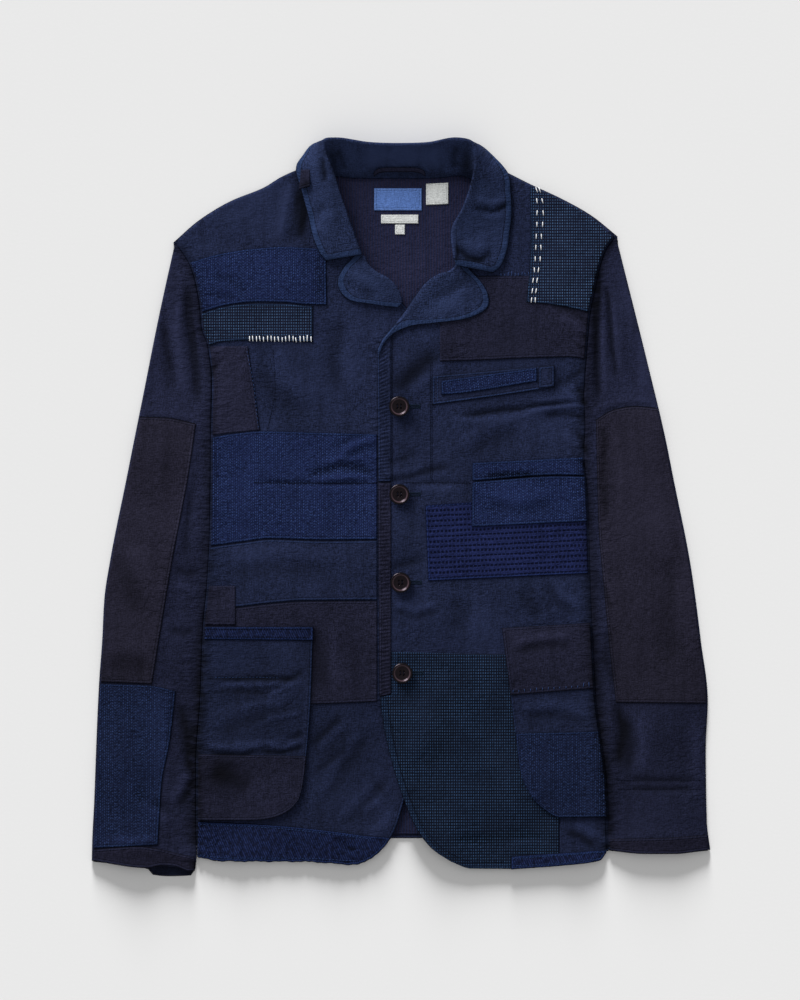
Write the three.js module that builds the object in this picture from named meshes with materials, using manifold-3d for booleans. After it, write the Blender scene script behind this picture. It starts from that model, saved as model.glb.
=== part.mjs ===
// Patched boro jacket, laid flat on its back and buttoned.
// Millimetres, +X to the wearer's left, +Y towards the collar, +Z up from the table.
// The origin is the middle of the jacket's box, on the table.
// "Right" and "left" are the wearer's: the right front lies under, the left front buttons over it.

import * as THREE from 'three';
import { mergeVertices } from 'three/addons/utils/BufferGeometryUtils.js';
import Module from 'manifold-3d';

// ---------------------------------------------------------------- driving dimensions

const GAP = 0.3; // between pieces that lie on or against each other
const SEAM_GAP = 0.6; // between two panels sewn edge to edge
const PANEL = 1.4; // thickness of the fronts and sleeves
const PATCH = 1.0; // thickness of a patch, strip or label
const POCKET = 1.2; // thickness of a patch pocket
const BACK = 1.5; // thickness of the back and the under sleeves
const LINING = 0.8;
const COLLAR = 2.0; // upper and under collar together

const ON_PANEL = PANEL + GAP; // underside of a patch, above a panel's underside
const ON_PATCH = ON_PANEL + PATCH + GAP;
const ON_POCKET = ON_PATCH + POCKET + GAP;
const OVERLAP = PANEL + GAP; // the left front lies this much higher over the right front

const OVERLAP_FROM = 32; // and comes down again from here on
const OVERLAP_SLOPE = 70;

const EDGE_REST = 1.9; // underside of the upper layer at its folded edges
const SHOULDER_REST = 3.1; // and along the shoulders, where the lining runs on below it
const CROWN = 5.2; // underside of the upper layer in the middle of the body or a sleeve
const HEM_TURN = -150; // below this the fronts sink towards the hem
const HEM_REACH = 230;
const CHEST = 30; // above this body and sleeves begin to run into one layer
const CHEST_BLEND = 100;
const SHOULDER_REACH = 110; // the rounding towards the shoulders starts this far below the origin

const NECK_SEAM = [329.5, 4.6]; // y and z of the collar's neck seam at the back
const STAND_SLOPE = 21.4 / 30; // rise of the collar stand on its way back

const BUTTON_RADIUS = 10.2;
const BUTTON_HEIGHT = 4.2;
const HOLE_RADIUS = 0.9;
const HOLE_OFFSET = 1.75;
const BUTTON_CENTRES = [[-1.8, 101.5], [-1.6, 13.7], [-0.4, -74.5], [1.2, -165]]; // the row drifts as it lies

// ---------------------------------------------------------------- outlines, in plan

// Side of the body from the hem to the underarm, then the armhole to the shoulder.
const RIGHT_SIDE = [
  [-204, -349], [-205, -316], [-205, -255], [-201, -194], [-198, -118], [-194, -76],
  [-191, -14], [-190, 78], [-189, 123], [-193, 162], [-199, 179], [-201, 201],
  [-205, 224], [-211, 243], [-217, 253], [-226, 266],
];
const LEFT_SIDE = [
  [207, -342], [207, -309], [205, -272], [199, -223], [194, -181], [191, -116],
  [189, -66], [187, 6], [183, 57], [184, 78], [183, 113], [185, 147],
  [189, 195], [194, 220], [199, 242], [205, 259], [215, 272],
];
// Outer fold of each sleeve from the cuff to the shoulder.
const RIGHT_SLEEVE_FOLD = [
  [-309.5, -353], [-309, -332], [-307, -292], [-304, -212], [-302, -172], [-299, -132],
  [-297, -92], [-291, -52], [-275, 28], [-259, 108], [-243, 188], [-226, 266],
];
const LEFT_SLEEVE_FOLD = [
  [309.5, -342], [306, -312], [305, -240], [307, -192], [300, -132], [295, -92],
  [289, -52], [273, 28], [265, 68], [246, 148], [226, 228], [215, 272],
];
const RIGHT_SHOULDER = [[-226, 266], [-201, 288], [-170, 307], [-136, 321], [-120, 331], [-86, 346]];
const LEFT_SHOULDER = [[92, 343], [129, 324], [159, 310], [189, 293], [215, 272]];
// Neckline and leading edge of each front, from the hem up to the shoulder.
const RIGHT_EDGE = [
  [-45, -356], [-31, -350], [-20, -342], [-11, -331], [-4, -317], [2, -297], [15, -255],
  [23, -218], [27, -188], [27, 180], [4, 202], [-12, 225], [-28, 235], [-41, 247],
  [-48, 262], [-55, 278], [-63, 298], [-73, 322], [-86, 346],
];
const LEFT_EDGE = [
  [70, -360], [50, -353], [32, -341], [18, -324], [6, -300], [-9, -255], [-17, -218],
  [-21, -189], [-22.5, 26], [-23.5, 157], [-19, 169], [-10, 179], [5, 199], [13, 211], [30, 229],
  [52, 238], [56, 256], [55, 272], [61, 285], [70, 303], [77, 322], [92, 343],
];
const RIGHT_HEM = [[-204, -349], [-177, -352.5], [-97, -353], [-45, -356]];
const LEFT_HEM = [[70, -360], [113, -360.5], [163, -357], [199, -352], [207, -342]];
const BACK_HEM = [[-203, -336], [-100, -331], [10, -330.5], [110, -331], [206, -334]];
const BACK_NECK = [[54, 331], [40, 328.5], [-50, 328.5], [-64, 331]];

// ---------------------------------------------------------------- plan geometry

const clamp01 = (value) => Math.min(1, Math.max(0, value));
const smooth = (value) => clamp01(value) ** 2 * (3 - 2 * clamp01(value));
const rounded = (share) => 1 - clamp01(Math.abs(share)) ** 4;
const mix = (a, b, share) => a.map((value, i) => value + (b[i] - value) * share);
const moved = (points, dx, dy = 0) => points.map(([x, y]) => [x + dx, y + dy]);

// Share of a polyline's whole length at each of its points.
function sharesOf(points) {
  const shares = [0];
  for (let i = 1; i < points.length; i += 1) {
    const step = Math.hypot(points[i][0] - points[i - 1][0], points[i][1] - points[i - 1][1]);
    shares.push(shares[i - 1] + step);
  }
  return shares.map((length) => length / shares[shares.length - 1]);
}

// Point of a polyline at a share of its length.
function pointAt(points, share) {
  const shares = sharesOf(points);
  let i = 1;
  while (i < points.length - 1 && shares[i] < share) {
    i += 1;
  }
  return mix(points[i - 1], points[i], (share - shares[i - 1]) / (shares[i] - shares[i - 1]));
}

// X of an edge that runs up the garment, at height y.
function edgeAt(points, y) {
  const inside = Math.min(points[points.length - 1][1], Math.max(points[0][1], y));
  let i = 1;
  while (i < points.length - 1 && points[i][1] < inside) {
    i += 1;
  }
  const [low, high] = [points[i - 1], points[i]];
  return low[0] + ((high[0] - low[0]) * (inside - low[1])) / (high[1] - low[1]);
}

// The stretch of an edge between two heights, with its own points in between.
function stretch(points, from, to) {
  const inside = points.filter(([, y]) => y > from + 2 && y < to - 2);
  return [[edgeAt(points, from), from], ...inside, [edgeAt(points, to), to]];
}

// Shares where a grid has its lines: at every point of two facing sides, and evenly between.
function gridShares(count, first, second) {
  const shares = [...sharesOf(first)];
  const add = (share, apart) => {
    if (shares.every((other) => Math.abs(other - share) > apart)) {
      shares.push(share);
    }
  };
  sharesOf(second).forEach((share) => add(share, 0.004));
  for (let i = 1; i < count; i += 1) {
    add(i / count, 0.5 / count);
  }
  return shares.sort((a, b) => a - b);
}

// Grid of a four-sided piece of cloth: each side is a polyline, and the inside is their Coons blend.
function planGrid({ bottom, top, left, right }, [columns, rows]) {
  const [b0, b1, t0, t1] = [bottom[0], bottom[bottom.length - 1], top[0], top[top.length - 1]];
  const leftSide = left ?? [b0, t0];
  const rightSide = right ?? [b1, t1];
  return gridShares(rows, leftSide, rightSide).map((v) =>
    gridShares(columns, bottom, top).map((u) => {
      const upDown = mix(pointAt(bottom, u), pointAt(top, u), v);
      const across = mix(pointAt(leftSide, v), pointAt(rightSide, v), u);
      const corners = mix(mix(b0, b1, u), mix(t0, t1, u), v);
      return [0, 1].map((i) => upDown[i] + across[i] - corners[i]);
    }));
}

// ---------------------------------------------------------------- height of the upper layer

// Top outline of the shoulders at x, where the front folds over to the back.
function shoulderAt(x) {
  const line = [...RIGHT_SHOULDER, ...LEFT_SHOULDER];
  const i = Math.max(1, line.findIndex((point) => point[0] >= x));
  const [low, high] = [line[i - 1], line[i]];
  return low[1] + ((high[1] - low[1]) * clamp01((x - low[0]) / (high[0] - low[0])));
}

// Rise of a layer that is round across between two edges, 0 at the edges and 1 in the middle.
const roundAcross = (x, low, high) => rounded((2 * (x - low)) / (high - low) - 1);

// Underside of the upper layer over the shoulders, where body and sleeves run into one another.
function shoulderLayer(x, y) {
  const across = roundAcross(x, edgeAt(RIGHT_SLEEVE_FOLD, y), edgeAt(LEFT_SLEEVE_FOLD, y));
  const up = rounded((y + SHOULDER_REACH) / (shoulderAt(x) + SHOULDER_REACH));
  return SHOULDER_REST + (CROWN - SHOULDER_REST) * across * up;
}

const ownOrShoulder = (own, x, y) => {
  const share = smooth((y - CHEST) / CHEST_BLEND);
  return own * (1 - share) + shoulderLayer(x, y) * share;
};

// Underside of the fronts.
function bodyLayer(x, y) {
  const across = roundAcross(x, edgeAt(RIGHT_SIDE, y), edgeAt(LEFT_SIDE, y));
  const hem = y < HEM_TURN ? rounded((y - HEM_TURN) / HEM_REACH) : 1;
  const own = EDGE_REST + (CROWN - EDGE_REST) * across * hem;
  return ownOrShoulder(own, x, y);
}

// The left front stands higher where it lies over the right front, and comes down beside it.
const leftFrontLayer = (x, y) =>
  bodyLayer(x, y) + OVERLAP * (1 - smooth((x - OVERLAP_FROM) / OVERLAP_SLOPE));

function sleeveLayer(fold, side) {
  return (x, y) => {
    const edges = [edgeAt(fold, y), edgeAt(side, y)].sort((a, b) => a - b);
    const across = 1 - ((2 * (x - edges[0])) / (edges[1] - edges[0]) - 1) ** 2;
    return ownOrShoulder(EDGE_REST + (CROWN - EDGE_REST) * Math.max(0, across), x, y);
  };
}
const rightSleeveLayer = sleeveLayer(RIGHT_SLEEVE_FOLD, RIGHT_SIDE);
const leftSleeveLayer = sleeveLayer(LEFT_SLEEVE_FOLD, LEFT_SIDE);

// ---------------------------------------------------------------- solids

const jacket = new THREE.Group();
const wasm = await Module();
wasm.setup();

const LOOKS = {
  navy: [0x1c213e, 0.85],
  deep_navy: [0x171c36, 0.85],
  brown_navy: [0x211f2b, 0.85],
  herringbone: [0x1e285c, 0.8],
  dotted: [0x0f1428, 0.85],
  sashiko: [0x202664, 0.8],
  hem_band: [0x1e2a5e, 0.8],
  lining: [0x1d1926, 0.7],
  collar: [0x1d2a52, 0.85],
  blue_label: [0x5f82cd, 0.6],
  white_label: [0xe6e6e4, 0.7],
  button: [0x2a1c1e, 0.25],
};

function addMesh(name, look, geometry) {
  const [color, roughness] = LOOKS[look];
  const material = new THREE.MeshStandardMaterial({ color, roughness, metalness: 0 });
  geometry.computeVertexNormals();
  const mesh = new THREE.Mesh(geometry, material);
  mesh.name = name;
  jacket.add(mesh);
}

// Closed wall between two grids of points, the lower one and the upper one.
function wallGeometry(under, over) {
  const rows = under.length;
  const columns = under[0].length;
  const points = [...under.flat(), ...over.flat()];
  const at = (side, row, column) => (side * rows + row) * columns + column;
  const faces = [];
  const quad = (a, b, c, d) => faces.push(a, b, c, a, c, d);
  for (let r = 0; r < rows - 1; r += 1) {
    for (let c = 0; c < columns - 1; c += 1) {
      quad(at(1, r, c), at(1, r, c + 1), at(1, r + 1, c + 1), at(1, r + 1, c));
      quad(at(0, r, c), at(0, r + 1, c), at(0, r + 1, c + 1), at(0, r, c + 1));
    }
  }
  for (let c = 0; c < columns - 1; c += 1) {
    quad(at(0, 0, c), at(0, 0, c + 1), at(1, 0, c + 1), at(1, 0, c));
    quad(at(1, rows - 1, c), at(1, rows - 1, c + 1), at(0, rows - 1, c + 1), at(0, rows - 1, c));
  }
  const end = columns - 1;
  for (let r = 0; r < rows - 1; r += 1) {
    quad(at(1, r, 0), at(1, r + 1, 0), at(0, r + 1, 0), at(0, r, 0));
    quad(at(0, r, end), at(0, r + 1, end), at(1, r + 1, end), at(1, r, end));
  }
  const geometry = new THREE.BufferGeometry();
  geometry.setAttribute('position', new THREE.Float32BufferAttribute(points.flat(), 3));
  geometry.setIndex(faces);
  return geometry;
}

// Piece of cloth that lies on the layer below it: its underside is the layer, moved up by lift.
function laidCloth(name, look, sides, cells, layer, lift, thickness) {
  const grid = planGrid(sides, cells);
  const at = (extra) => grid.map((row) => row.map(([x, y]) => [x, y, layer(x, y) + lift + extra]));
  addMesh(name, look, wallGeometry(at(0), at(thickness)));
}

// Cloth that turns over an edge: a grid of points in space, given half its thickness on each side.
function foldedCloth(name, look, grid, thickness) {
  const last = [grid.length - 1, grid[0].length - 1];
  const vector = (r, c) => new THREE.Vector3(
    ...grid[Math.min(last[0], Math.max(0, r))][Math.min(last[1], Math.max(0, c))]);
  const side = (reach) => grid.map((row, r) => row.map((point, c) => {
    const across = vector(r, c + 1).sub(vector(r, c - 1));
    const along = vector(r + 1, c).sub(vector(r - 1, c));
    const normal = across.cross(along).normalize().multiplyScalar(reach);
    return [point[0] + normal.x, point[1] + normal.y, point[2] + normal.z];
  }));
  addMesh(name, look, wallGeometry(side(-thickness / 2), side(thickness / 2)));
}

// Flat cloth of any outline.
function flatCloth(name, look, outline, base, thickness) {
  const shape = new THREE.Shape(outline.map(([x, y]) => new THREE.Vector2(x, y)));
  const geometry = new THREE.ExtrudeGeometry(shape, { depth: thickness, bevelEnabled: false });
  geometry.deleteAttribute('normal');
  geometry.deleteAttribute('uv');
  geometry.translate(0, 0, base);
  addMesh(name, look, mergeVertices(geometry, 1e-4));
}

// ---------------------------------------------------------------- back, lining, under sleeves

const reversed = (points) => [...points].reverse();
const above = (points, y) => points.filter((point) => point[1] > y);

function makeBack() {
  flatCloth('back_panel', 'navy', [
    ...BACK_HEM,
    ...above(LEFT_SIDE, -330),
    ...reversed(LEFT_SHOULDER).slice(1),
    ...BACK_NECK,
    ...RIGHT_SHOULDER.slice(1).reverse(),
    ...reversed(above(RIGHT_SIDE, -330)),
  ], 0, BACK);
  const inset = 24;
  flatCloth('back_lining', 'lining', [
    [-178, -326], [10, -326.5], [178, -326],
    ...moved(above(LEFT_SIDE, -300).slice(0, -1), -inset),
    [180, 284], [125, 314], [92, 331], [54, 329], [40, 327], [-50, 327], [-64, 329],
    [-90, 331], [-120, 318], [-190, 284],
    ...moved(reversed(above(RIGHT_SIDE, -300)).slice(1), inset),
  ], BACK + GAP, LINING);
}

function makeUnderSleeves() {
  flatCloth('sleeve_right_under', 'deep_navy', [
    ...RIGHT_SLEEVE_FOLD.slice(0, -1).reverse(),
    [-254, -361], [-249, -367], [-233, -369], [-209, -368], [-203.8, -364],
    ...moved(RIGHT_SIDE, -SEAM_GAP),
  ], 0, BACK);
  flatCloth('sleeve_left_under', 'deep_navy', [
    [208, -343], [245, -346], [274, -346], [301, -343],
    ...LEFT_SLEEVE_FOLD.slice(0, -1),
    ...moved(reversed(LEFT_SIDE), SEAM_GAP),
  ], 0, BACK);
}

// ---------------------------------------------------------------- fronts and sleeves

function makeFronts() {
  laidCloth('front_right', 'navy',
    { bottom: RIGHT_HEM, top: RIGHT_SHOULDER, left: RIGHT_SIDE, right: RIGHT_EDGE },
    [6, 13], bodyLayer, 0, PANEL);
  laidCloth('front_left', 'navy',
    { bottom: LEFT_HEM, top: LEFT_SHOULDER, left: LEFT_EDGE, right: LEFT_SIDE },
    [7, 6], leftFrontLayer, 0, PANEL);
}

const sideToSleeve = (side, away) => moved(side, away * SEAM_GAP);

function makeUpperSleeves() {
  const rightInner = [[-206, -362], ...sideToSleeve(RIGHT_SIDE, -1).slice(0, -1), [-227, 266.5]];
  laidCloth('sleeve_right_upper', 'deep_navy', {
    bottom: [[-309.5, -353], [-254, -357], [-206, -362]],
    top: [[-228, 265.2], [-227, 266.5]],
    left: [...RIGHT_SLEEVE_FOLD.slice(0, -1), [-228, 265.2]],
    right: rightInner,
  }, [5, 10], rightSleeveLayer, 0, PANEL);
  const leftInner = [...sideToSleeve(LEFT_SIDE, 1).slice(0, -1), [216, 272.4]];
  laidCloth('sleeve_left_upper', 'deep_navy', {
    bottom: [[207.6, -342], [245, -345], [274, -345], [309.5, -342]],
    top: [[216, 272.4], [217, 271]],
    left: leftInner,
    right: [...LEFT_SLEEVE_FOLD.slice(0, -1), [217, 271]],
  }, [6, 10], leftSleeveLayer, 0, PANEL);
}

function makeSleevePieces() {
  const rightPiece = (name, look, sides, cells) =>
    laidCloth(name, look, sides, cells, rightSleeveLayer, ON_PANEL, PATCH);
  rightPiece('sleeve_right_elbow', 'brown_navy', {
    bottom: [[-302, -174], [-249, -176]],
    top: [[-263, 91], [-235, 90], [-205, 84]],
    left: stretch(RIGHT_SLEEVE_FOLD, -174, 91),
    right: [[-249, -176], [-237, -102], [-229, -55], [-219, -2], [-213, 30], [-205, 84]],
  }, [8, 5]);
  rightPiece('sleeve_right_lower', 'herringbone', {
    bottom: [[-308, -340.5], [-243, -337]],
    top: [[-302, -175.5], [-249, -177.5], [-225, -183]],
    left: stretch(RIGHT_SLEEVE_FOLD, -340.5, -175.5),
    right: [[-243, -337], [-239, -275], [-231, -234], [-225, -183]],
  }, [8, 3]);
  rightPiece('cuff_right', 'brown_navy', {
    bottom: [[-309.5, -353], [-254, -360], [-239, -357.5], [-226, -358.5], [-211, -363.5],
      [-204.5, -363]],
    top: [[-308.5, -341.5], [-262, -338.5], [-240, -341.5], [-218, -347], [-204.8, -349.5]],
  }, [10, 1]);
  const leftPiece = (name, look, sides, cells) =>
    laidCloth(name, look, sides, cells, leftSleeveLayer, ON_PANEL, PATCH);
  leftPiece('sleeve_left_elbow', 'brown_navy', {
    bottom: [[215, -194.5], [306, -195.5]],
    top: [[195, 88], [214, 98.5], [234, 101.5], [257, 99.5]],
    left: [[215, -194.5], [209.5, -147], [203.5, -86], [197.5, -14], [195, 88]],
    right: stretch(LEFT_SLEEVE_FOLD, -195.5, 99.5),
  }, [10, 6]);
  leftPiece('cuff_left', 'brown_navy', {
    bottom: [[207.8, -343], [245, -346], [273, -346], [301, -343], [309.5, -342]],
    top: [[207.8, -331], [259, -330], [307.5, -327]],
  }, [10, 1]);
}

// ---------------------------------------------------------------- patches of the right front

function makeRightFrontPatches() {
  const patch = (name, look, sides, cells = [4, 2], lift = ON_PANEL, thickness = PATCH) =>
    laidCloth(name, look, sides, cells, bodyLayer, lift, thickness);
  const under = -24; // the patches end here, against the left front's edge
  const side = moved(RIGHT_SIDE, 0.4);
  patch('front_right_shoulder_patch', 'herringbone', {
    bottom: [[-200, 196], [-170, 203.5], [-142, 206], [-116, 205.5], [-97, 203.5], [-74, 203]],
    top: [[-209, 246], [-178, 254.5], [-147, 259.5], [-117, 261.5], [-75, 259]],
    left: [[-200, 196], [-204, 220], [-209, 246]],
  });
  patch('front_right_dotted_patch', 'dotted', {
    bottom: [[-192, 163], [-176, 166.5], [-153, 167.5], [-88, 166]],
    top: [[-199.5, 195], [-170, 202.5], [-142, 205], [-116, 204.5], [-97, 202.5], [-88, 202]],
    left: [[-192, 163], [-198, 180], [-199.5, 195]],
  });
  patch('front_right_side_patch', 'brown_navy', {
    bottom: [[-189, 73], [-166, 75.5], [-141, 78]],
    top: [[-192, 161.5], [-153, 162]],
    left: stretch(side, 73, 161.5),
  }, [2, 3]);
  patch('front_right_chest_patch', 'herringbone', {
    bottom: [[-191, -38], [-157, -33.5], [-131, -30.5], [-77, -32], [under, -31.5]],
    top: [[-189.5, 71], [-167, 74.5], [-139, 77], [-77, 75.5], [under, 74]],
    left: stretch(side, -38, 71),
  }, [8, 4]);
  patch('front_right_middle_band', 'navy', {
    bottom: [[-195.5, -101], [-165, -99], [-131, -95], [-96, -92.5], [under, -92]],
    top: [[-191, -39], [-157, -34.5], [-131, -31.5], [-77, -33], [under, -32.5]],
    left: stretch(side, -101, -39),
  }, [6, 2]);
  patch('front_right_brown_panel', 'brown_navy', {
    bottom: [[-200.5, -197], [-87, -196], [under, -193.5]],
    top: [[-195.5, -102], [-165, -100], [-131, -96], [-96, -93.5], [under, -93]],
    left: stretch(side, -197, -102),
  }, [6, 3]);
  patch('front_right_small_patch', 'brown_navy', {
    bottom: [[-197, -117], [-165.5, -117]],
    top: [[-193.5, -78], [-165.5, -78]],
  }, [2, 2], ON_PATCH);
  patch('front_right_hem_band', 'hem_band', {
    bottom: [[-204.5, -350], [-177, -353.5], [-97, -354], [-45, -357], [-31, -351], [-20, -343], [-10, -330]],
    top: [[-204.5, -313.5], [-168, -315], [-127, -317], [-76, -322], [-29, -328], [-10, -329]],
  }, [6, 2]);
  patch('pocket_right_body', 'navy', {
    bottom: [[-204.5, -312.5], [-150, -312.5], [-131, -310.5], [-118, -306], [-109, -300], [-102, -291]],
    top: [[-197.5, -118.5], [-87.5, -118.5]],
    left: stretch(side, -312.5, -118.5),
    right: [[-102, -291], [-98, -276], [-94.5, -248], [-90, -192], [-87.5, -118.5]],
  }, [4, 4], ON_PATCH, POCKET);
  patch('pocket_right_band', 'hem_band', {
    bottom: [[-198, -131.5], [-87.5, -132.5]],
    top: [[-197.5, -118.5], [-87.5, -118.5]],
  }, [4, 1], ON_POCKET);
  patch('pocket_right_lower', 'brown_navy', {
    bottom: [[-204.5, -312.5], [-150, -312.5], [-131, -310.5], [-118, -306], [-109, -300], [-102, -291]],
    top: [[-204, -246], [-150, -247], [-94.5, -248]],
    right: [[-102, -291], [-98, -276], [-94.5, -248]],
  }, [4, 2], ON_POCKET);
}

// ---------------------------------------------------------------- patches of the left front

function makeLeftFrontPatches() {
  const patch = (name, look, sides, cells = [4, 2], lift = ON_PANEL, thickness = PATCH) =>
    laidCloth(name, look, sides, cells, leftFrontLayer, lift, thickness);
  const side = moved(LEFT_SIDE, -0.4);
  patch('front_left_shoulder_patch', 'dotted', {
    bottom: [[125, 206], [156, 202.5], [188.5, 196]],
    top: [[129, 323.5], [159, 309.5], [189, 292.5], [213.5, 272]],
    left: [[125, 206], [128, 233], [130, 271], [129, 323.5]],
    right: stretch(side, 196, 271).slice(0, -1).concat([[213.5, 272]]),
  }, [4, 4], ON_PATCH);
  patch('front_left_chest_patch', 'brown_navy', {
    bottom: [[39, 146.5], [83, 148], [127, 150], [170, 151], [184.5, 149]],
    top: [[39, 231], [80, 232], [124, 232], [195.5, 230]],
    right: stretch(side, 149, 230),
  }, [8, 3]);
  patch('welt_pocket', 'navy', {
    bottom: [[31, 103], [94, 111.5], [153.5, 120.5]],
    top: [[31, 132], [153.5, 143]],
  }, [8, 1]);
  patch('welt_patch', 'herringbone', {
    bottom: [[40, 113], [54, 114], [136, 126.5]],
    top: [[40, 127.5], [136, 140.5]],
  }, [8, 1], ON_PATCH);
  patch('welt_tab', 'navy', {
    bottom: [[137.5, 119.5], [153.5, 121.5]],
    top: [[137.5, 141], [153.5, 142.5]],
  }, [1, 1], ON_PATCH);
  patch('front_left_pocket_flap', 'herringbone', {
    bottom: [[71, 27], [159, 33], [184.5, 32.5]],
    top: [[71, 45.5], [183, 51]],
  }, [4, 1], ON_PATCH);
  patch('front_left_pocket_patch', 'herringbone', {
    bottom: [[70.5, -19], [187.5, -13.5]],
    top: [[71, 26], [159, 32], [185.5, 31.5]],
  }, [8, 2], ON_PATCH);
  patch('front_left_sashiko_patch', 'sashiko', {
    bottom: [[27, -73], [188, -65.5]],
    top: [[24, 3], [70, 6], [186, 11]],
  }, [10, 3]);
  patch('front_left_dotted_panel', 'dotted', {
    bottom: [[50, -353.6], [70, -360.6], [113, -361], [158, -357.8]],
    top: [[-9.5, -144], [100, -146], [158, -146]],
    left: [[50, -353.6], [32, -341.6], [18, -324.6], [6, -300], [-9, -255], [-17.4, -218],
      [-21.4, -189.5], [-9.5, -186.5], [-9.5, -144]],
  }, [6, 4]);
  patch('front_left_hem_piece', 'navy', {
    bottom: [[159, -357.4], [199, -352.5], [207, -342.5]],
    top: [[159, -300], [205.5, -300]],
  }, [2, 2]);
  patch('front_left_hem_band', 'hem_band', {
    bottom: [[110, -361.5], [163, -357.6], [199, -352.6], [207, -345]],
    top: [[110, -348], [158, -345], [207, -341.6]],
  }, [4, 1], ON_PATCH);
  patch('edge_strip_upper', 'navy', {
    bottom: [[-23, 26.5], [-10, 26.5]],
    top: [[-19, 169], [-10, 178.5]],
    left: [[-23, 26.5], [-24, 157], [-19, 169]],
  }, [1, 4]);
  patch('edge_strip_lower', 'brown_navy', {
    bottom: [[-21.6, -188.5], [-10, -185.8]],
    top: [[-23, 25.5], [-10, 25.5]],
  }, [1, 5]);
  patch('pocket_left_body', 'navy', {
    bottom: [[125, -279], [132, -291], [144, -302], [158, -309.5], [206.5, -309]],
    top: [[101, -120], [190.5, -115]],
    left: [[125, -279], [120, -267], [114, -224], [109.5, -187], [101, -120]],
    right: stretch(side, -309, -115),
  }, [4, 4], ON_PATCH, POCKET);
  patch('pocket_left_top', 'brown_navy', {
    bottom: [[109.5, -187], [194, -180.5]],
    top: [[101, -120], [190.5, -115]],
  }, [4, 2], ON_POCKET);
  patch('pocket_left_lower', 'herringbone', {
    bottom: [[125, -279], [132, -291], [144, -302], [158, -309.5], [206.5, -309]],
    top: [[114, -225], [198.5, -223]],
    left: [[125, -279], [120, -267], [114, -225]],
    right: stretch(side, -309, -223),
  }, [4, 3], ON_POCKET);
}

// ---------------------------------------------------------------- collar, lapels, neck

// The collar is one strip that turns round the neck. Each station gives the outer edge of the fall,
// the crest where it turns over and the neck seam, as [x, y, z] of the middle of the cloth.
const onRight = (x, y, extra) => [x, y, bodyLayer(x, y) + ON_PATCH + GAP + COLLAR / 2 + extra];
const onLeft = (x, y, extra) => [x, y, leftFrontLayer(x, y) + ON_PATCH + GAP + COLLAR / 2 + extra];
const COLLAR_STATIONS = [
  [onRight(-75, 247, 0), [-39.5, 252.5, 14], onRight(-43, 252.5, -0.6)],
  [onRight(-81, 254, 0), [-43, 262, 15.5], onRight(-47, 262, -0.6)],
  [onRight(-88, 270, 0), [-48, 276, 17.5], onRight(-53, 276, -0.6)],
  [onRight(-93, 292, 0), [-55.5, 297, 20], onRight(-61, 296, -0.6)],
  [onRight(-99, 315, 0), [-62.5, 317, 22.5], onRight(-68, 314, -0.6)],
  [[-105, 341, 6.5], [-69, 338, 25], [-71, 328, 6.2]],
  [[-98, 353, 3.6], [-75, 352, 26.5], [-66, 331, 5.4]],
  [[-88, 363.5, 2.2], [-77, 365.5, 27], [-60, 331, 4.6]],
  [[-70, 367.2, 1.6], [-66, 367.9, 26.5], [-52, 330, 4.6]],
  [[-34, 364.4, 1.4], [-32, 363.4, 26], [-28, 329.5, 4.6]],
  [[0, 363.4, 1.4], [0, 362.4, 26], [0, 329.5, 4.6]],
  [[30, 364.6, 1.4], [28, 363.6, 26], [26, 329.5, 4.6]],
  [[58, 367.4, 1.6], [55, 368, 26.5], [45, 330.5, 4.6]],
  [[78, 363, 2.2], [71, 364, 27], [54, 332, 4.8]],
  [[94, 350, 3.6], [75, 351, 26.5], [64, 331, 5.6]],
  [[107, 335, 6.5], [73, 335, 25], [76, 325, 6.4]],
  [onLeft(110, 315, 0), [68.5, 317, 23], onLeft(74, 313, -0.6)],
  [onLeft(111, 295, 0), [61.5, 298, 21], onLeft(67, 296, -0.6)],
  [onLeft(109, 276, 0), [51.5, 279, 19], onLeft(58, 278, -0.6)],
  [onLeft(106, 257, 0), [52, 258, 17], onLeft(58, 257, -0.6)],
  [onLeft(100, 242, 0), [54.5, 246.5, 16], onLeft(59.5, 247, -0.6)],
  [onLeft(92, 235, 0), [56.5, 241.5, 15.5], onLeft(60.5, 242, -0.6)],
];

// Section of the collar: the fall bulges a little, turns over at the crest, and the stand comes down.
function collarSection([edge, crest, seam]) {
  const turn = 3;
  const fall = (share, bulge) => {
    const point = mix(edge, [crest[0], crest[1], crest[2] - turn / 2], share);
    return [point[0], point[1], point[2] + bulge];
  };
  const outer = fall(0.86, 1.6);
  const inner = mix(crest, seam, 0.16);
  return [edge, fall(0.3, 1.2), fall(0.62, 1.9), outer, crest, inner, mix(crest, seam, 0.55), seam];
}

function makeCollar() {
  foldedCloth('collar', 'collar', COLLAR_STATIONS.map(collarSection), COLLAR);
}

// A lapel lies on its front along the outer edge, rises to the roll line and turns down behind it.
// The grid runs the other way on the left front, so that both walls face outwards.
function makeLapel(name, layer, outline, roll, rise, behind) {
  const count = roll.length - 1;
  const crest = roll.map((point, i) => [...point, layer(...point) + ON_PATCH + PATCH + rise[i]]);
  const rim = outline.map((point) => [...point, layer(...point) + ON_PATCH + PATCH]);
  const grid = [0, 0.25, 0.5, 0.75, 1].map((share) => crest.map((top, i) => {
    const point = mix(rim[i], top, share);
    return [point[0], point[1], point[2] + Math.sin(Math.PI * share) * 0.35];
  }));
  const turned = crest.map((point, i) => {
    const ends = Math.sin((Math.PI * (i + 0.6)) / (count + 1.2));
    return [point[0] + behind[0] * ends, point[1] + behind[1] * ends, point[2] - 1.6];
  });
  const rows = [...grid, turned];
  foldedCloth(name, 'collar', behind[0] > 0 ? rows : rows.map(reversed), PANEL);
}

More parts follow.
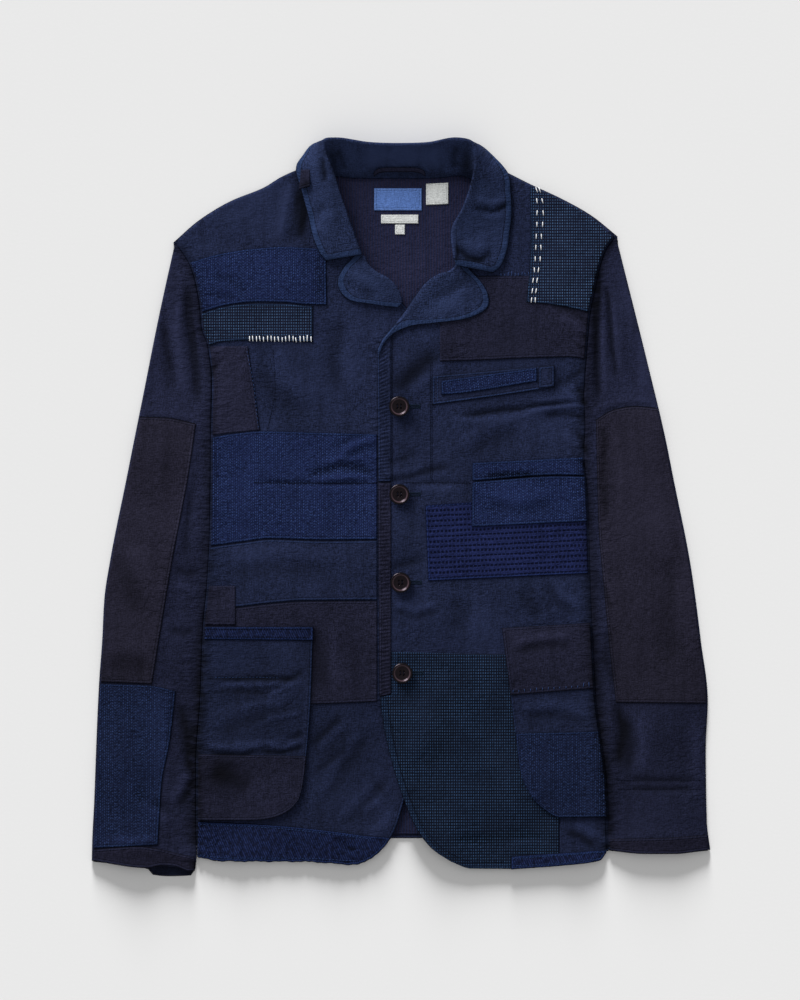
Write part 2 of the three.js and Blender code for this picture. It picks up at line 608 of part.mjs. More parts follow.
function makeLapels() {
  makeLapel('lapel_right', bodyLayer,
    [[-48.5, 248.5], [-57, 239], [-62.5, 229], [-63, 221], [-58.5, 213], [-50, 207], [-35, 204.5],
      [-14, 201.5], [-3, 200.5]],
    [[-41, 246], [-34.5, 240], [-29, 237], [-23, 233.5], [-17, 230.5], [-11, 226.5], [-6, 221],
      [-1, 212], [1, 205]],
    [0, 0.6, 1.1, 1.5, 1.7, 1.7, 1.4, 0.9, 0.4], [1.4, 1.4]);
  makeLapel('lapel_left', leftFrontLayer,
    [[68, 237.5], [79, 227], [86, 217], [88.5, 207], [86, 199.5], [74, 192], [60, 188], [36, 185],
      [14, 182.5], [1, 179.5], [-8, 173]],
    [[57, 238], [47, 236], [40, 233.5], [34, 230.5], [29, 226.5], [24, 221.5], [19, 214.5], [14.5, 207.5],
      [9.5, 200.5], [2, 192.5], [-6, 182.5]],
    [0, 0.6, 1.1, 1.5, 1.7, 1.7, 1.6, 1.3, 0.9, 0.5, 0.2], [-1.4, 1.4]);
}

function makeNeckPieces() {
  const flat = () => BACK + GAP + LINING + GAP;
  const label = (name, look, [x0, y0], [x1, y1], lean) => laidCloth(name, look, {
    bottom: [[x0, y0], [x1, y0 + lean]],
    top: [[x0, y1], [x1, y1 + lean]],
  }, [1, 1], flat, 0, PATCH);
  label('label_main', 'blue_label', [-27, 297.5], [21, 320], 0);
  label('label_strip', 'white_label', [-20, 284.5], [17.5, 293.5], 0);
  label('label_tab', 'white_label', [-6, 273.5], [4, 283.5], 0);
  label('label_square', 'white_label', [25, 303], [47.5, 324.5], 1);
  // The hanger loop lies flat on the collar stand, just above the neck seam.
  const stand = (x, y) => NECK_SEAM[1] + (y - NECK_SEAM[0]) * STAND_SLOPE + 2.2;
  laidCloth('hanger_loop', 'lining', {
    bottom: [[-27.5, 331], [-22, 334.5], [-14, 335.5], [11, 335.5], [19, 334.5], [24.5, 331]],
    top: [[-27, 336], [-22, 339], [-14, 340], [11, 340], [19, 339], [24, 336]],
  }, [5, 1], stand, 0, PATCH);
  // The pieced end lies on the slope of the collar's fall, which climbs towards the neck.
  const fall = (x, y) => 10.6 + (x + 102) * 0.48 + (338 - y) * 0.035;
  laidCloth('collar_pieced_end', 'brown_navy', {
    bottom: [[-102, 318], [-91, 321]],
    top: [[-100, 338], [-91, 338]],
  }, [1, 2], fall, 0, PATCH);
}

// ---------------------------------------------------------------- buttons

// Four-hole button: a rim round a dished middle, turned about its axis.
function makeButton(name, x, y, base) {
  const profile = [
    [0, 0], [6.6, 0], [9.2, 1.0], [BUTTON_RADIUS, 2.4], [9.9, 3.6], [9.0, BUTTON_HEIGHT],
    [8.0, 3.9], [7.2, 3.0], [5.6, 2.4], [0, 2.1],
  ].map(([radius, height]) => new THREE.Vector2(radius, height));
  const solidOf = (geometry) => {
    geometry.deleteAttribute('normal');
    geometry.deleteAttribute('uv');
    const merged = mergeVertices(geometry, 1e-4);
    return new wasm.Manifold(new wasm.Mesh({
      numProp: 3,
      vertProperties: new Float32Array(merged.attributes.position.array),
      triVerts: new Uint32Array(merged.index.array),
    }));
  };
  const body = new THREE.LatheGeometry(profile, 24).rotateX(Math.PI / 2);
  const holes = [[-1, -1], [1, -1], [-1, 1], [1, 1]].map(([i, j]) =>
    new THREE.CylinderGeometry(HOLE_RADIUS, HOLE_RADIUS, 3 * BUTTON_HEIGHT, 8)
      .rotateX(Math.PI / 2)
      .translate(HOLE_OFFSET * i, HOLE_OFFSET * j, BUTTON_HEIGHT / 2));
  const cut = holes.reduce((solid, hole) => solid.subtract(solidOf(hole)), solidOf(body));
  const { vertProperties, triVerts } = cut.getMesh();
  const geometry = new THREE.BufferGeometry();
  geometry.setAttribute('position', new THREE.BufferAttribute(new Float32Array(vertProperties), 3));
  geometry.setIndex([...triVerts]);
  addMesh(name, 'button', geometry.translate(x, y, base));
}

function makeButtons() {
  BUTTON_CENTRES.forEach(([x, y], i) => {
    makeButton(`button_${i + 1}`, x, y, leftFrontLayer(x, y) + ON_PATCH + 0.5);
  });
}

makeBack();
makeUnderSleeves();
makeFronts();
makeUpperSleeves();
makeSleevePieces();
makeRightFrontPatches();
makeLeftFrontPatches();
makeCollar();
makeLapels();
makeNeckPieces();
makeButtons();

export default jacket;
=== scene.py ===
"""Patched boro jacket, laid flat on its back and buttoned.

The cloth is worked out in millimetres and turned into metres when a mesh is made. +X is the wearer's
left, +Y the collar, +Z up from the table. "Right" and "left" are the wearer's.
Every piece of cloth is a thin closed wall: a four-sided plan filled by a Coons blend, lifted by the
layer it lies in and by the creases that run through all the layers at that place.
"""

import functools
import math

import bpy
import numpy as np
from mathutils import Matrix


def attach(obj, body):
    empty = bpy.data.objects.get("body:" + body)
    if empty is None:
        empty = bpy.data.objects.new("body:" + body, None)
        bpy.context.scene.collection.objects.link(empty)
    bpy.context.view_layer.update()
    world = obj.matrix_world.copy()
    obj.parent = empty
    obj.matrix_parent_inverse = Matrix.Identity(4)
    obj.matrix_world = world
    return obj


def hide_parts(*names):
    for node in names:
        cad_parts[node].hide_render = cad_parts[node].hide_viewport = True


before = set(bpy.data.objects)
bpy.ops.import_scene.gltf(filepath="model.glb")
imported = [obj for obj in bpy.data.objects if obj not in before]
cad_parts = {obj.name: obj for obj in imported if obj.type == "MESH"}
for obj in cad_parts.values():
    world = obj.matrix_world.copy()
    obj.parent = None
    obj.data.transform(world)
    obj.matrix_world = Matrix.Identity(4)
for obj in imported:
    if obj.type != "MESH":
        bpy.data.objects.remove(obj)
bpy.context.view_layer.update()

MM = 0.001

# ---------------------------------------------------------------- thicknesses and layers

GAP = 0.3
PANEL = 1.4
PATCH = 1.0
POCKET = 1.2
BACK = 1.5
LINING = 0.8
COLLAR_CLOTH = 2.0
ON_PANEL = PANEL + GAP
ON_PATCH = ON_PANEL + PATCH + GAP
ON_POCKET = ON_PATCH + POCKET + GAP
OVERLAP = PANEL + GAP  # how much higher the left front lies where it covers the right one
OVERLAP_FROM = 32
OVERLAP_SLOPE = 70
EDGE_REST = 1.9  # underside of the upper layer at the sides, at the shoulders' edge and at its highest
SHOULDER_REST = 3.1
CROWN = 5.2
HEM_TURN = -150  # the body thins out from here to the hem
HEM_REACH = 230
CHEST = 30  # body and sleeves run together from here up
CHEST_BLEND = 100
SHOULDER_REACH = 110
LINING_TOP = BACK + GAP + LINING + 0.2
FOLD = 1.7  # how far a folded edge bulges past the flat of the cloth
SHOULDER_FOLD = 2.2
LIP_STEP = 1.5  # width of the first cell inside a folded edge
ROUNDING = 1.0  # width over which a cut edge rises to its full thickness
ON_TABLE = 0.15  # where a fold that lies on the table ends
ON_BACK = BACK + 0.15  # where a fold that lies on the back ends
SIDE_GAP = 0.25  # between body and sleeve
UNDERLAP = 1.6  # how far the back reaches under each sleeve
FAR = 99.0  # distance written where a side has no worn edge
RIM = np.array([0.0, 0.2, 0.6, 1.1, 2.0])  # grid lines beside a cut edge
THREADS_FROM = 200  # the thread directions count from here, so that they stay above 0
EDGE_SHARE = 0.42  # the share of a narrow end that the lines beside one edge may take
LEAST_ROOM = 0.5  # the least width and height that lines are shared out over
LEAST_HEIGHT = 6.0
LIP_TAPER = 2.5  # length over which a lip narrows to nothing at its ends
LIP_ANGLES = [172, 150, 125, 100, 78, 54, 28]
LEAST_LIP = 0.12  # size of a lip's inner side, as a share of its outer side, where it is thinnest
LEAST_SIDE = 10.2  # the smallest side a sheet may state
LEAST_SHARE = 0.31  # the smallest share of its width times its length that a sheet may fill


def smooth(t):
    """Smooth step from 0 to 1: 3 t squared minus 2 t cubed."""
    t = np.clip(t, 0, 1)
    return t * t * (3 - 2 * t)


def rounded(t):
    """Flat top with round ends: 1 minus t to the fourth power."""
    return 1 - np.clip(np.abs(t), 0, 1) ** 4


def hermite(knots, values, at, limited):
    """Cubic between knots. Slopes are the mean of the two chords, or their harmonic mean where limited,
    which is 0 at a turning point, so that the line never overshoots."""
    step = np.diff(knots)[:, None]
    chord = np.diff(values, axis=0) / step
    before, after = chord[:-1], chord[1:]
    if limited:
        total = before + after
        safe = np.where(np.abs(total) < 1e-12, 1, total)
        middle = np.where(before * after > 0, 2 * before * after / safe, 0)
    else:
        middle = (before + after) / 2
    slope = np.concatenate([chord[:1], middle, chord[-1:]])
    i = np.clip(np.searchsorted(knots, at, side="right") - 1, 0, len(knots) - 2)
    h = step[i]
    t = ((at - knots[i]) / (knots[i + 1] - knots[i]))[:, None]
    return (
        (1 + 2 * t) * (1 - t) ** 2 * values[i]
        + t * (1 - t) ** 2 * h * slope[i]
        + t * t * (3 - 2 * t) * values[i + 1]
        + t * t * (t - 1) * h * slope[i + 1]
    )


def lengths(line):
    """Running length of a line of points."""
    return np.concatenate([[0], np.cumsum(np.linalg.norm(np.diff(line, axis=0), axis=1))])


def curve(points, spacing=2.0):
    """Smooth line through the points, with a point about every spacing and at every given point."""
    points = np.asarray(points, float)
    if len(points) == 2:
        return points
    run = lengths(points)
    at = np.union1d(np.linspace(0, run[-1], int(run[-1] / spacing) + 2), run)
    return hermite(run, points, at, True)


def along(line, share):
    """Points of a line at shares of its length, for shares of any array shape."""
    run = lengths(line)
    at = np.ravel(share) * run[-1]
    found = np.stack([np.interp(at, run, line[:, k]) for k in range(line.shape[1])], axis=1)
    return found.reshape(np.shape(share) + (line.shape[1],))


# ---------------------------------------------------------------- outlines, in plan

RIGHT_SIDE = curve(
    [(-204, -349), (-205, -316), (-205, -255), (-201, -194), (-198, -118), (-194, -76), (-191, -14),
     (-190, 78), (-189, 123), (-193, 162), (-199, 179), (-201, 201), (-205, 224), (-211, 243),
     (-217, 253), (-226, 266)]
)
LEFT_SIDE = curve(
    [(207, -342), (207, -309), (205, -272), (199, -223), (194, -181), (191, -116), (189, -66), (187, 6),
     (183, 57), (184, 78), (183, 113), (185, 147), (189, 195), (194, 220), (199, 242), (205, 259),
     (215, 272)]
)
RIGHT_SLEEVE_FOLD = curve(
    [(-309.5, -353), (-309, -332), (-307, -292), (-304, -212), (-302, -172), (-299, -132), (-297, -92),
     (-291, -52), (-275, 28), (-259, 108), (-243, 188), (-226, 266)]
)
LEFT_SLEEVE_FOLD = curve(
    [(309.5, -342), (306, -312), (305, -240), (307, -192), (300, -132), (295, -92), (289, -52),
     (273, 28), (265, 68), (246, 148), (226, 228), (215, 272)]
)
RIGHT_SHOULDER = curve([(-226, 266), (-201, 288), (-170, 307), (-136, 321), (-120, 331), (-86, 346)])
LEFT_SHOULDER = curve([(92, 343), (129, 324), (159, 310), (189, 293), (215, 272)])
RIGHT_EDGE = np.concatenate([
    curve([(-45, -356), (-31, -350), (-20, -342), (-11, -331), (-4, -317), (2, -297), (15, -255),
           (23, -218), (27, -188)]),
    curve([(27, 180), (4, 202), (-12, 225), (-28, 235), (-41, 247), (-48, 262), (-55, 278), (-63, 298),
           (-73, 322), (-86, 346)]),
])
LEFT_EDGE = np.concatenate([
    curve([(70, -360), (50, -353), (32, -341), (18, -324), (6, -300), (-9, -255), (-17, -218), (-21, -189)]),
    curve([(-22.5, 26), (-23.5, 157), (-19, 169), (-10, 179), (5, 199), (13, 211), (30, 229), (52, 238)]),
    curve([(56, 256), (55, 272), (61, 285), (70, 303), (77, 322), (92, 343)]),
])
RIGHT_HEM = curve([(-204, -349), (-177, -352.5), (-97, -353), (-45, -356)])
LEFT_HEM = curve([(70, -360), (113, -360.5), (163, -357), (199, -352), (207, -342)])
SHOULDERS = np.concatenate([RIGHT_SHOULDER, LEFT_SHOULDER])


def edge_at(line, y):
    """X of an edge that runs up the garment, at height y."""
    return np.interp(y, line[:, 1], line[:, 0])


def stretch(line, low, high, dx=0.0):
    """The part of an upright edge between two heights, moved sideways by dx."""
    inside = line[(line[:, 1] > low + 0.5) & (line[:, 1] < high - 0.5)]
    ends = [[edge_at(line, low), low]], [[edge_at(line, high), high]]
    return np.concatenate([ends[0], inside, ends[1]]) + (dx, 0)


# ---------------------------------------------------------------- creases that run through all layers


def beside(x, y, line):
    """Distance of each point from a line of points, positive on its left, and the share along it."""
    line = np.asarray(line, float)
    run = lengths(line)
    best = np.full(np.shape(x), np.inf)
    signed, share = np.zeros(np.shape(x)), np.zeros(np.shape(x))
    for k, ((ax, ay), (bx, by)) in enumerate(zip(line[:-1], line[1:])):
        dx, dy = bx - ax, by - ay
        t = np.clip(((x - ax) * dx + (y - ay) * dy) / (dx * dx + dy * dy), 0, 1)
        away = np.hypot(x - ax - t * dx, y - ay - t * dy)
        side = np.where(dx * (y - ay) - dy * (x - ax) >= 0, 1.0, -1.0)
        nearer = away < best
        best = np.where(nearer, away, best)
        signed = np.where(nearer, away * side, signed)
        share = np.where(nearer, (run[k] + t * (run[k + 1] - run[k])) / run[-1], share)
    return signed, share


def crease(x, y, line, width, depth, form="trough"):
    """One soft crease, in millimetres of height, fading out at both ends. A trough or ridge is a bell
    across the line. A fold is the bell times the distance, so one side stands up and the other sinks."""
    fade, fold_height = 0.22, 2.3
    signed, share = beside(x, y, line)
    bell = depth * np.exp(-((signed / width) ** 2)) * smooth(np.minimum(share, 1 - share) / fade)
    return {"trough": -bell, "ridge": bell, "fold": fold_height * bell * signed / width}[form]


BODY_CREASES = [
    # right front: chest patch, running in from the button
    ([(-100, 30), (-60, 42), (-38, 38), (-22, 27)], 5.0, 0.9),
    ([(-96, 24), (-60, 30), (-26, 31)], 2.6, 0.6, "ridge"),
    ([(-150, 26), (-100, 24.5), (-24, 25)], 1.5, 0.9),
    ([(-60, 50), (-40, 62), (-22, 66)], 5.0, 0.5, "fold"),
    ([(-86, 40), (-58, 50), (-34, 48)], 3.0, 0.5, "ridge"),
    ([(-70, 58), (-48, 70), (-28, 72)], 3.2, 0.4),
    # right front: shoulder by the collar
    ([(-104, 262), (-96, 300), (-92, 335)], 5.0, 0.9),
    ([(-118, 260), (-110, 300), (-104, 328)], 7.0, 0.7, "fold"),
    ([(-190, 232), (-168, 226), (-150, 214)], 5.0, 0.5),
    ([(-196, 216), (-178, 210), (-160, 209)], 3.5, 0.5),
    # right front: under the lapel down to the first button
    ([(-50, 190), (-60, 150), (-52, 112)], 12.0, 0.5, "fold"),
    ([(-140, 150), (-120, 120), (-80, 96)], 14.0, 0.4, "fold"),
    # right front: middle band and panel
    ([(-185, -60), (-120, -52), (-60, -58)], 12.0, 0.4, "fold"),
    ([(-80, -110), (-74, -150), (-70, -186)], 12.0, 0.4, "fold"),
    # right front: patch pocket
    ([(-198, -171), (-150, -170.5), (-100, -171)], 2.4, 0.7),
    ([(-190, -176.5), (-150, -177.5), (-104, -176)], 2.4, 0.6, "ridge"),
    ([(-130, -182), (-112, -172), (-95, -162)], 2.6, 0.45),
    ([(-136, -190), (-114, -180), (-94, -172)], 2.6, 0.4, "ridge"),
    ([(-190, -184), (-160, -183), (-130, -186)], 2.6, 0.4),
    ([(-196, -222), (-150, -206), (-97, -190)], 9.0, 0.25, "fold"),
    ([(-196, -240), (-150, -236), (-98, -232)], 3.0, 0.5, "ridge"),
    ([(-170, -200), (-140, -196), (-110, -198)], 3.0, 0.3, "ridge"),
    ([(-140, -214), (-120, -208), (-98, -206)], 3.0, 0.4, "ridge"),
    ([(-144, -243), (-122, -245), (-94, -238)], 2.2, 0.7),
    ([(-203, -238), (-184, -246), (-160, -247), (-136, -242)], 2.4, 0.6),
    ([(-201, -233), (-182, -240), (-160, -241.5), (-136, -237)], 2.4, 0.5, "ridge"),
    ([(-136, -238), (-116, -240), (-95, -233)], 2.2, 0.6, "ridge"),
    ([(-118, -233), (-106, -229), (-95, -224)], 2.4, 0.5),
    ([(-196, -262), (-170, -268), (-150, -285)], 14.0, 0.6),
    # right front: below the brown panel
    ([(-84, -300), (-60, -260), (-30, -215)], 7.0, 0.25, "fold"),
    ([(-60, -318), (-36, -290), (-10, -262)], 6.0, 0.25, "fold"),
    ([(-92, -240), (-74, -222), (-58, -206)], 3.6, 0.5),
    ([(-84, -244), (-68, -228), (-50, -212)], 3.6, 0.4, "ridge"),
    ([(-90, -268), (-70, -252), (-52, -240)], 3.0, 0.35),
    ([(-40, -306), (-24, -296), (-8, -276)], 3.2, 0.4, "ridge"),
    ([(-30, -262), (-22, -280), (-12, -292)], 3.4, 0.4),
    ([(-6, -300), (-16, -318), (-34, -330)], 7.0, 0.7, "ridge"),
    # right front: hem band
    ([(-64, -330), (-54, -338), (-44, -344)], 4.0, 0.6),
    # left front: chest, under the lapel
    ([(38, 158), (16, 138), (-8, 114)], 9.0, 0.55),
    ([(48, 150), (28, 130), (6, 112)], 5.0, 0.6, "ridge"),
    ([(48, 96), (66, 92), (94, 97), (118, 99), (140, 103), (184, 107)], 2.4, 1.1),
    ([(120, 95), (146, 99), (166, 102), (186, 101)], 2.6, 1.1, "ridge"),
    ([(130, 105), (158, 109), (186, 111)], 2.6, 0.7, "ridge"),
    ([(46, 90), (80, 86), (118, 90), (150, 94)], 4.0, 0.5, "ridge"),
    ([(60, 54), (84, 72), (120, 82)], 9.0, 0.35, "fold"),
    ([(140, 92), (166, 94), (186, 90)], 3.0, 0.8),
    ([(150, 120), (168, 128), (184, 140)], 3.0, 0.6),
    ([(156, 112), (172, 120), (186, 130)], 3.0, 0.5, "ridge"),
    # left front: round the second button
    ([(-22, 26), (6, 30), (28, 37), (56, 44)], 3.0, 0.6),
    ([(-20, 33), (8, 37), (30, 45)], 2.8, 0.4, "ridge"),
    ([(-16, 44), (4, 50), (18, 60)], 3.0, 0.4),
    ([(172, 128), (180, 114), (186, 98)], 2.4, 0.7),
    ([(166, 118), (176, 104), (184, 88)], 2.6, 0.5, "ridge"),
    ([(172, 84), (180, 68), (188, 52)], 2.6, 0.7),
    ([(160, 74), (174, 64), (186, 66)], 2.6, 0.5, "ridge"),
    ([(176, 50), (182, 42), (189, 40)], 2.4, 0.5),
    ([(8, 24.5), (38, 25), (68, 24.5)], 1.8, 0.6),
    ([(14, 22), (40, 16), (62, 20)], 6.0, 0.5, "ridge"),
    # left front: pocket flap and patch
    ([(84, 30), (110, 31), (136, 33)], 4.0, 0.8),
    ([(80, 8), (120, 2), (160, 10)], 9.0, 0.4, "fold"),
    # left front: round the third button and below
    ([(-14, -60), (6, -56), (24, -50)], 4.0, 0.7),
    ([(-10, -98), (16, -106), (40, -98)], 5.0, 0.5, "fold"),
    ([(120, -78), (128, -96), (142, -110)], 8.0, 0.5),
    ([(60, -84), (70, -104), (64, -130)], 13.0, 0.4, "fold"),
    ([(150, -72), (160, -92), (180, -104)], 6.0, 0.5, "fold"),
    # left front: patch pocket
    ([(110, -140), (140, -134), (176, -132)], 6.0, 0.5, "fold"),
    ([(116, -206), (150, -202), (190, -206)], 7.0, 0.4, "fold"),
    ([(122, -284), (132, -288), (142, -286)], 3.0, 0.5, "ridge"),
    # left front: hem
    ([(44, -330), (76, -332), (110, -326), (150, -330)], 5.0, 0.8),
    ([(100, -338), (130, -334), (158, -336)], 4.0, 0.6, "ridge"),
    ([(162, -322), (180, -328), (196, -340)], 4.0, 0.7),
    ([(168, -314), (186, -322), (204, -328)], 4.0, 0.5, "ridge"),
    ([(20, -260), (34, -220), (30, -180)], 16.0, 0.4, "fold"),
    # both armholes
    ([(-176, 150), (-186, 140), (-192, 128)], 3.0, 0.6),
    ([(-174, 160), (-184, 158), (-192, 150)], 3.0, 0.5, "ridge"),
    ([(150, 206), (172, 196), (186, 186)], 5.0, 0.6),
    ([(156, 190), (174, 184), (186, 172)], 4.0, 0.5, "ridge"),
]
SLEEVE_CREASES = [
    # right sleeve
    ([(-214, 232), (-212, 190), (-205, 140), (-203, 96)], 4.5, 1.4),
    ([(-224, 214), (-222, 170), (-215, 120)], 3.6, 0.6, "ridge"),
    ([(-236, 212), (-236, 170), (-230, 130)], 3.4, 0.5),
    ([(-262, 90.5), (-235, 89.5), (-206, 83.5)], 2.4, 0.4),
    ([(-262, 95), (-235, 94), (-208, 88)], 2.4, 0.2, "ridge"),
    ([(-232, 190), (-226, 150), (-222, 110)], 8.0, 0.6, "fold"),
    ([(-206, 82), (-210, 40), (-218, 0), (-226, -50)], 3.0, 0.8, "ridge"),
    ([(-208, 30), (-214, -10), (-216, -60)], 4.0, 0.6),
    ([(-228, -60), (-212, -66), (-200, -62)], 3.5, 0.7),
    ([(-230, -78), (-214, -80), (-204, -88)], 3.5, 0.6, "ridge"),
    ([(-234, -120), (-216, -126), (-206, -120)], 4.0, 0.6),
    ([(-280, -40), (-262, -70), (-250, -110)], 14.0, 0.4, "fold"),
    ([(-296, -150), (-270, -146), (-246, -152)], 12.0, 0.3, "fold"),
    ([(-222, -190), (-214, -230), (-208, -272)], 6.0, 0.8),
    ([(-228, -300), (-216, -280), (-206, -262)], 6.0, 0.7, "fold"),
    ([(-268, -280), (-252, -296), (-230, -300)], 5.0, 0.5),
    ([(-262, -292), (-246, -306), (-226, -318)], 6.0, 0.5, "ridge"),
    ([(-290, -330), (-270, -334), (-240, -330)], 4.0, 0.6, "ridge"),
    # left sleeve
    ([(197, 250), (196, 190), (196, 130), (198, 92)], 3.6, 1.3),
    ([(203, 230), (208, 205), (211, 165), (217, 122)], 2.4, 1.3),
    ([(202, 190), (203, 150), (206, 108)], 2.6, 0.6, "ridge"),
    ([(211, 214), (216, 176), (221, 128)], 3.0, 0.3, "ridge"),
    ([(194, 91), (214, 100), (234, 103), (256, 101)], 2.4, 0.4),
    ([(196, 96), (214, 105), (234, 108), (256, 106)], 2.4, 0.2, "ridge"),
    ([(224, 200), (226, 160), (230, 124)], 3.4, 0.35),
    ([(240, 190), (238, 150), (238, 112)], 7.0, 0.3, "fold"),
    ([(214, 84), (222, 40), (220, -20)], 3.4, 0.3, "ridge"),
    ([(270, 60), (276, 0), (284, -60)], 6.0, 0.25, "fold"),
    ([(196, 90), (204, 70), (202, 30), (206, -20)], 4.0, 0.8),
    ([(198, -60), (206, -80), (212, -100)], 4.0, 0.6, "fold"),
    ([(210, -120), (206, -150), (212, -180)], 4.5, 0.7),
    ([(214, -190), (222, -220), (216, -262)], 5.0, 0.9),
    ([(232, -204), (236, -240), (232, -268)], 9.0, 0.6, "fold"),
    ([(280, -40), (276, -100), (284, -160)], 14.0, 0.4, "fold"),
    ([(296, -205), (297, -250), (294, -300)], 5.0, 0.5, "ridge"),
    ([(222, -271.5), (260, -272), (304, -272)], 1.8, 0.6),
    ([(222, -280.5), (260, -281), (304, -281)], 1.8, 0.6),
]

CREASE_GAIN = 1.9  # every crease's depth is taken this many times
SHARPEST = 2.4  # the least width of a crease
UNREST = 0.0030  # height of a slow wave, as a share of its length
random = np.random.default_rng(11)
WAVES = [
    (random.uniform(0, 2 * np.pi), random.uniform(30, 150), random.uniform(0, 2 * np.pi)) for _ in range(14)
]


def unrest(x, y):
    """Slight unevenness of the cloth: the sum of fourteen long sine waves in all directions, each with a
    height in proportion to its length."""
    total = np.zeros(np.shape(x))
    for direction, length, phase in WAVES:
        run = x * math.cos(direction) + y * math.sin(direction)
        total += UNREST * length * np.sin(2 * np.pi * run / length + phase)
    return total


def folds_of(x, y, creases):
    """Sum of the creases, each worked out only within about three widths of its line."""
    total = np.zeros(np.shape(x))
    for line, width, depth, *form in creases:
        xs, ys = np.array(line, float).T
        reach = 3.2 * width
        near = (x > xs.min() - reach) & (x < xs.max() + reach)
        near &= (y > ys.min() - reach) & (y < ys.max() + reach)
        if near.any():
            total[near] += crease(x[near], y[near], line, max(width, SHARPEST), CREASE_GAIN * depth, *form)
    return total


def creased(x, y, creases):
    """Everything that lifts or sinks the cloth on a layer."""
    return unrest(x, y) + folds_of(x, y, creases)


# ---------------------------------------------------------------- height of the layers


def shoulder_layer(x, y):
    """Underside of the upper layer over the shoulders, where body and sleeves are one round form."""
    low, high = edge_at(RIGHT_SLEEVE_FOLD, y), edge_at(LEFT_SLEEVE_FOLD, y)
    across = rounded(2 * (x - low) / (high - low) - 1)
    top = np.interp(x, SHOULDERS[:, 0], SHOULDERS[:, 1])
    up = rounded((y + SHOULDER_REACH) / (top + SHOULDER_REACH))
    return SHOULDER_REST + (CROWN - SHOULDER_REST) * across * up


def with_shoulders(own, x, y):
    """Blends a layer's own form into the shoulders' form, from the chest up."""
    share = smooth((y - CHEST) / CHEST_BLEND)
    return own * (1 - share) + shoulder_layer(x, y) * share


def settled(height, x, y, creases):
    """A layer with its creases, which never sink into the lining below."""
    return np.maximum(height + creased(x, y, creases), np.minimum(height, LINING_TOP))


def body_layer(x, y):
    low, high = edge_at(RIGHT_SIDE, y), edge_at(LEFT_SIDE, y)
    across = rounded(2 * (x - low) / (high - low) - 1)
    hem = np.where(y < HEM_TURN, rounded((y - HEM_TURN) / HEM_REACH), 1)
    own = EDGE_REST + (CROWN - EDGE_REST) * across * hem
    return settled(with_shoulders(own, x, y), x, y, BODY_CREASES)


def left_front_layer(x, y):
    return body_layer(x, y) + OVERLAP * (1 - smooth((x - OVERLAP_FROM) / OVERLAP_SLOPE))


def sleeve_layer(fold, side):
    """Parabola across a sleeve between its fold and the body's side."""

    def layer(x, y):
        low = np.minimum(edge_at(fold, y), edge_at(side, y))
        high = np.maximum(edge_at(fold, y), edge_at(side, y))
        across = np.clip(1 - (2 * (x - low) / np.maximum(high - low, 1) - 1) ** 2, 0, 1)
        own = EDGE_REST + (CROWN - EDGE_REST) * across
        height = with_shoulders(own, x, y)
        return np.maximum(height + creased(x, y, SLEEVE_CREASES), EDGE_REST)

    return layer


right_sleeve_layer = sleeve_layer(RIGHT_SLEEVE_FOLD, RIGHT_SIDE)
left_sleeve_layer = sleeve_layer(LEFT_SLEEVE_FOLD, LEFT_SIDE)


def table_layer(x, y):
    """The table's own height, 0."""
    return np.zeros(np.shape(x))


def at_point(layer, x, y):
    """Height of a layer at one point."""
    return float(layer(np.array([float(x)]), np.array([float(y)]))[0])


def at_height(layer, above):
    """Height of the cloth's upper side when it lies above a layer."""
    return lambda x, y: layer(x, y) + above


# ---------------------------------------------------------------- wear and painted shade, by place

# Soft spots of fading (above 0) and of deeper dye or grime (below 0), and some spots of painted shade and
# painted shadow (below 0), marked below: middle, reach each way, amount.
TONES_AND_SHADOWS = [
    # painted shadow beside the collar's outer edge on the right front
    (-96, 300, 7, 42, -0.6),
    (-106, 316, 5, 30, -0.5),
    (-140, 300, 46, 26, 0.4),
    (-110, 130, 60, 36, -0.18),
    (-175, 120, 20, 40, 0.4),
    (-81, 232, 6, 30, -0.6),
    (-150, -190, 46, 46, -0.22),
    (-60, -150, 50, 36, -0.2),
    # painted shadow below the left lapel, four spots along its lower edge
    (30, 154, 17, 12, -0.28),
    (18, 142, 17, 12, -0.28),
    (6, 130, 16, 12, -0.28),
    (-5, 116, 14, 14, -0.25),
    (10, 60, 20, 50, -0.15),
    (110, 188, 60, 30, -0.25),
    (84, 126, 60, 16, -0.2),
    (70, 60, 60, 30, -0.2),
    (-181, -262, 14, 12, -0.19),
    (-170, -272, 14, 9, -0.12),
    (-187, -276, 9, 8, -0.1),
    (110, 158, 60, 22, -0.22),
    (240, 170, 26, 70, 0.25),
    (-135, -284, 36, 20, 0.25),
    (-241, -225, 11, 46, 0.5),
    (-60, -240, 30, 30, -0.25),
    (30, 40, 28, 6, -0.2),
    # painted shadow along the lower edge of the left pocket flap
    (110, 32.5, 34, 3.5, -0.8),
    (250, 210, 24, 50, 0.3),
    (262, 0, 40, 130, 0.25),
    (-240, 190, 16, 60, 0.2),
    (60, 200, 30, 14, 0.2),
]
HEM_SHADE = -0.34  # painted shade: the cloth is darker towards the hem, where the light falls off, from a height down over a length
HEM_SHADE_FROM = 60
HEM_SHADE_LENGTH = 340
SIDE_SHADE = -0.7  # painted shade: also darker beside the body's sides, in the valley between body and sleeve
SIDE_SHADE_REACH = 7
FOLD_LIGHT_AND_SHADE = 0.4  # painted light and shade: crease ridges lighter and troughs darker, within limits
FOLD_LIGHT_AND_SHADE_LIMITS = (-1.8, 1.2)
EVERY = 6  # a long edge's seam is followed by every sixth of its points
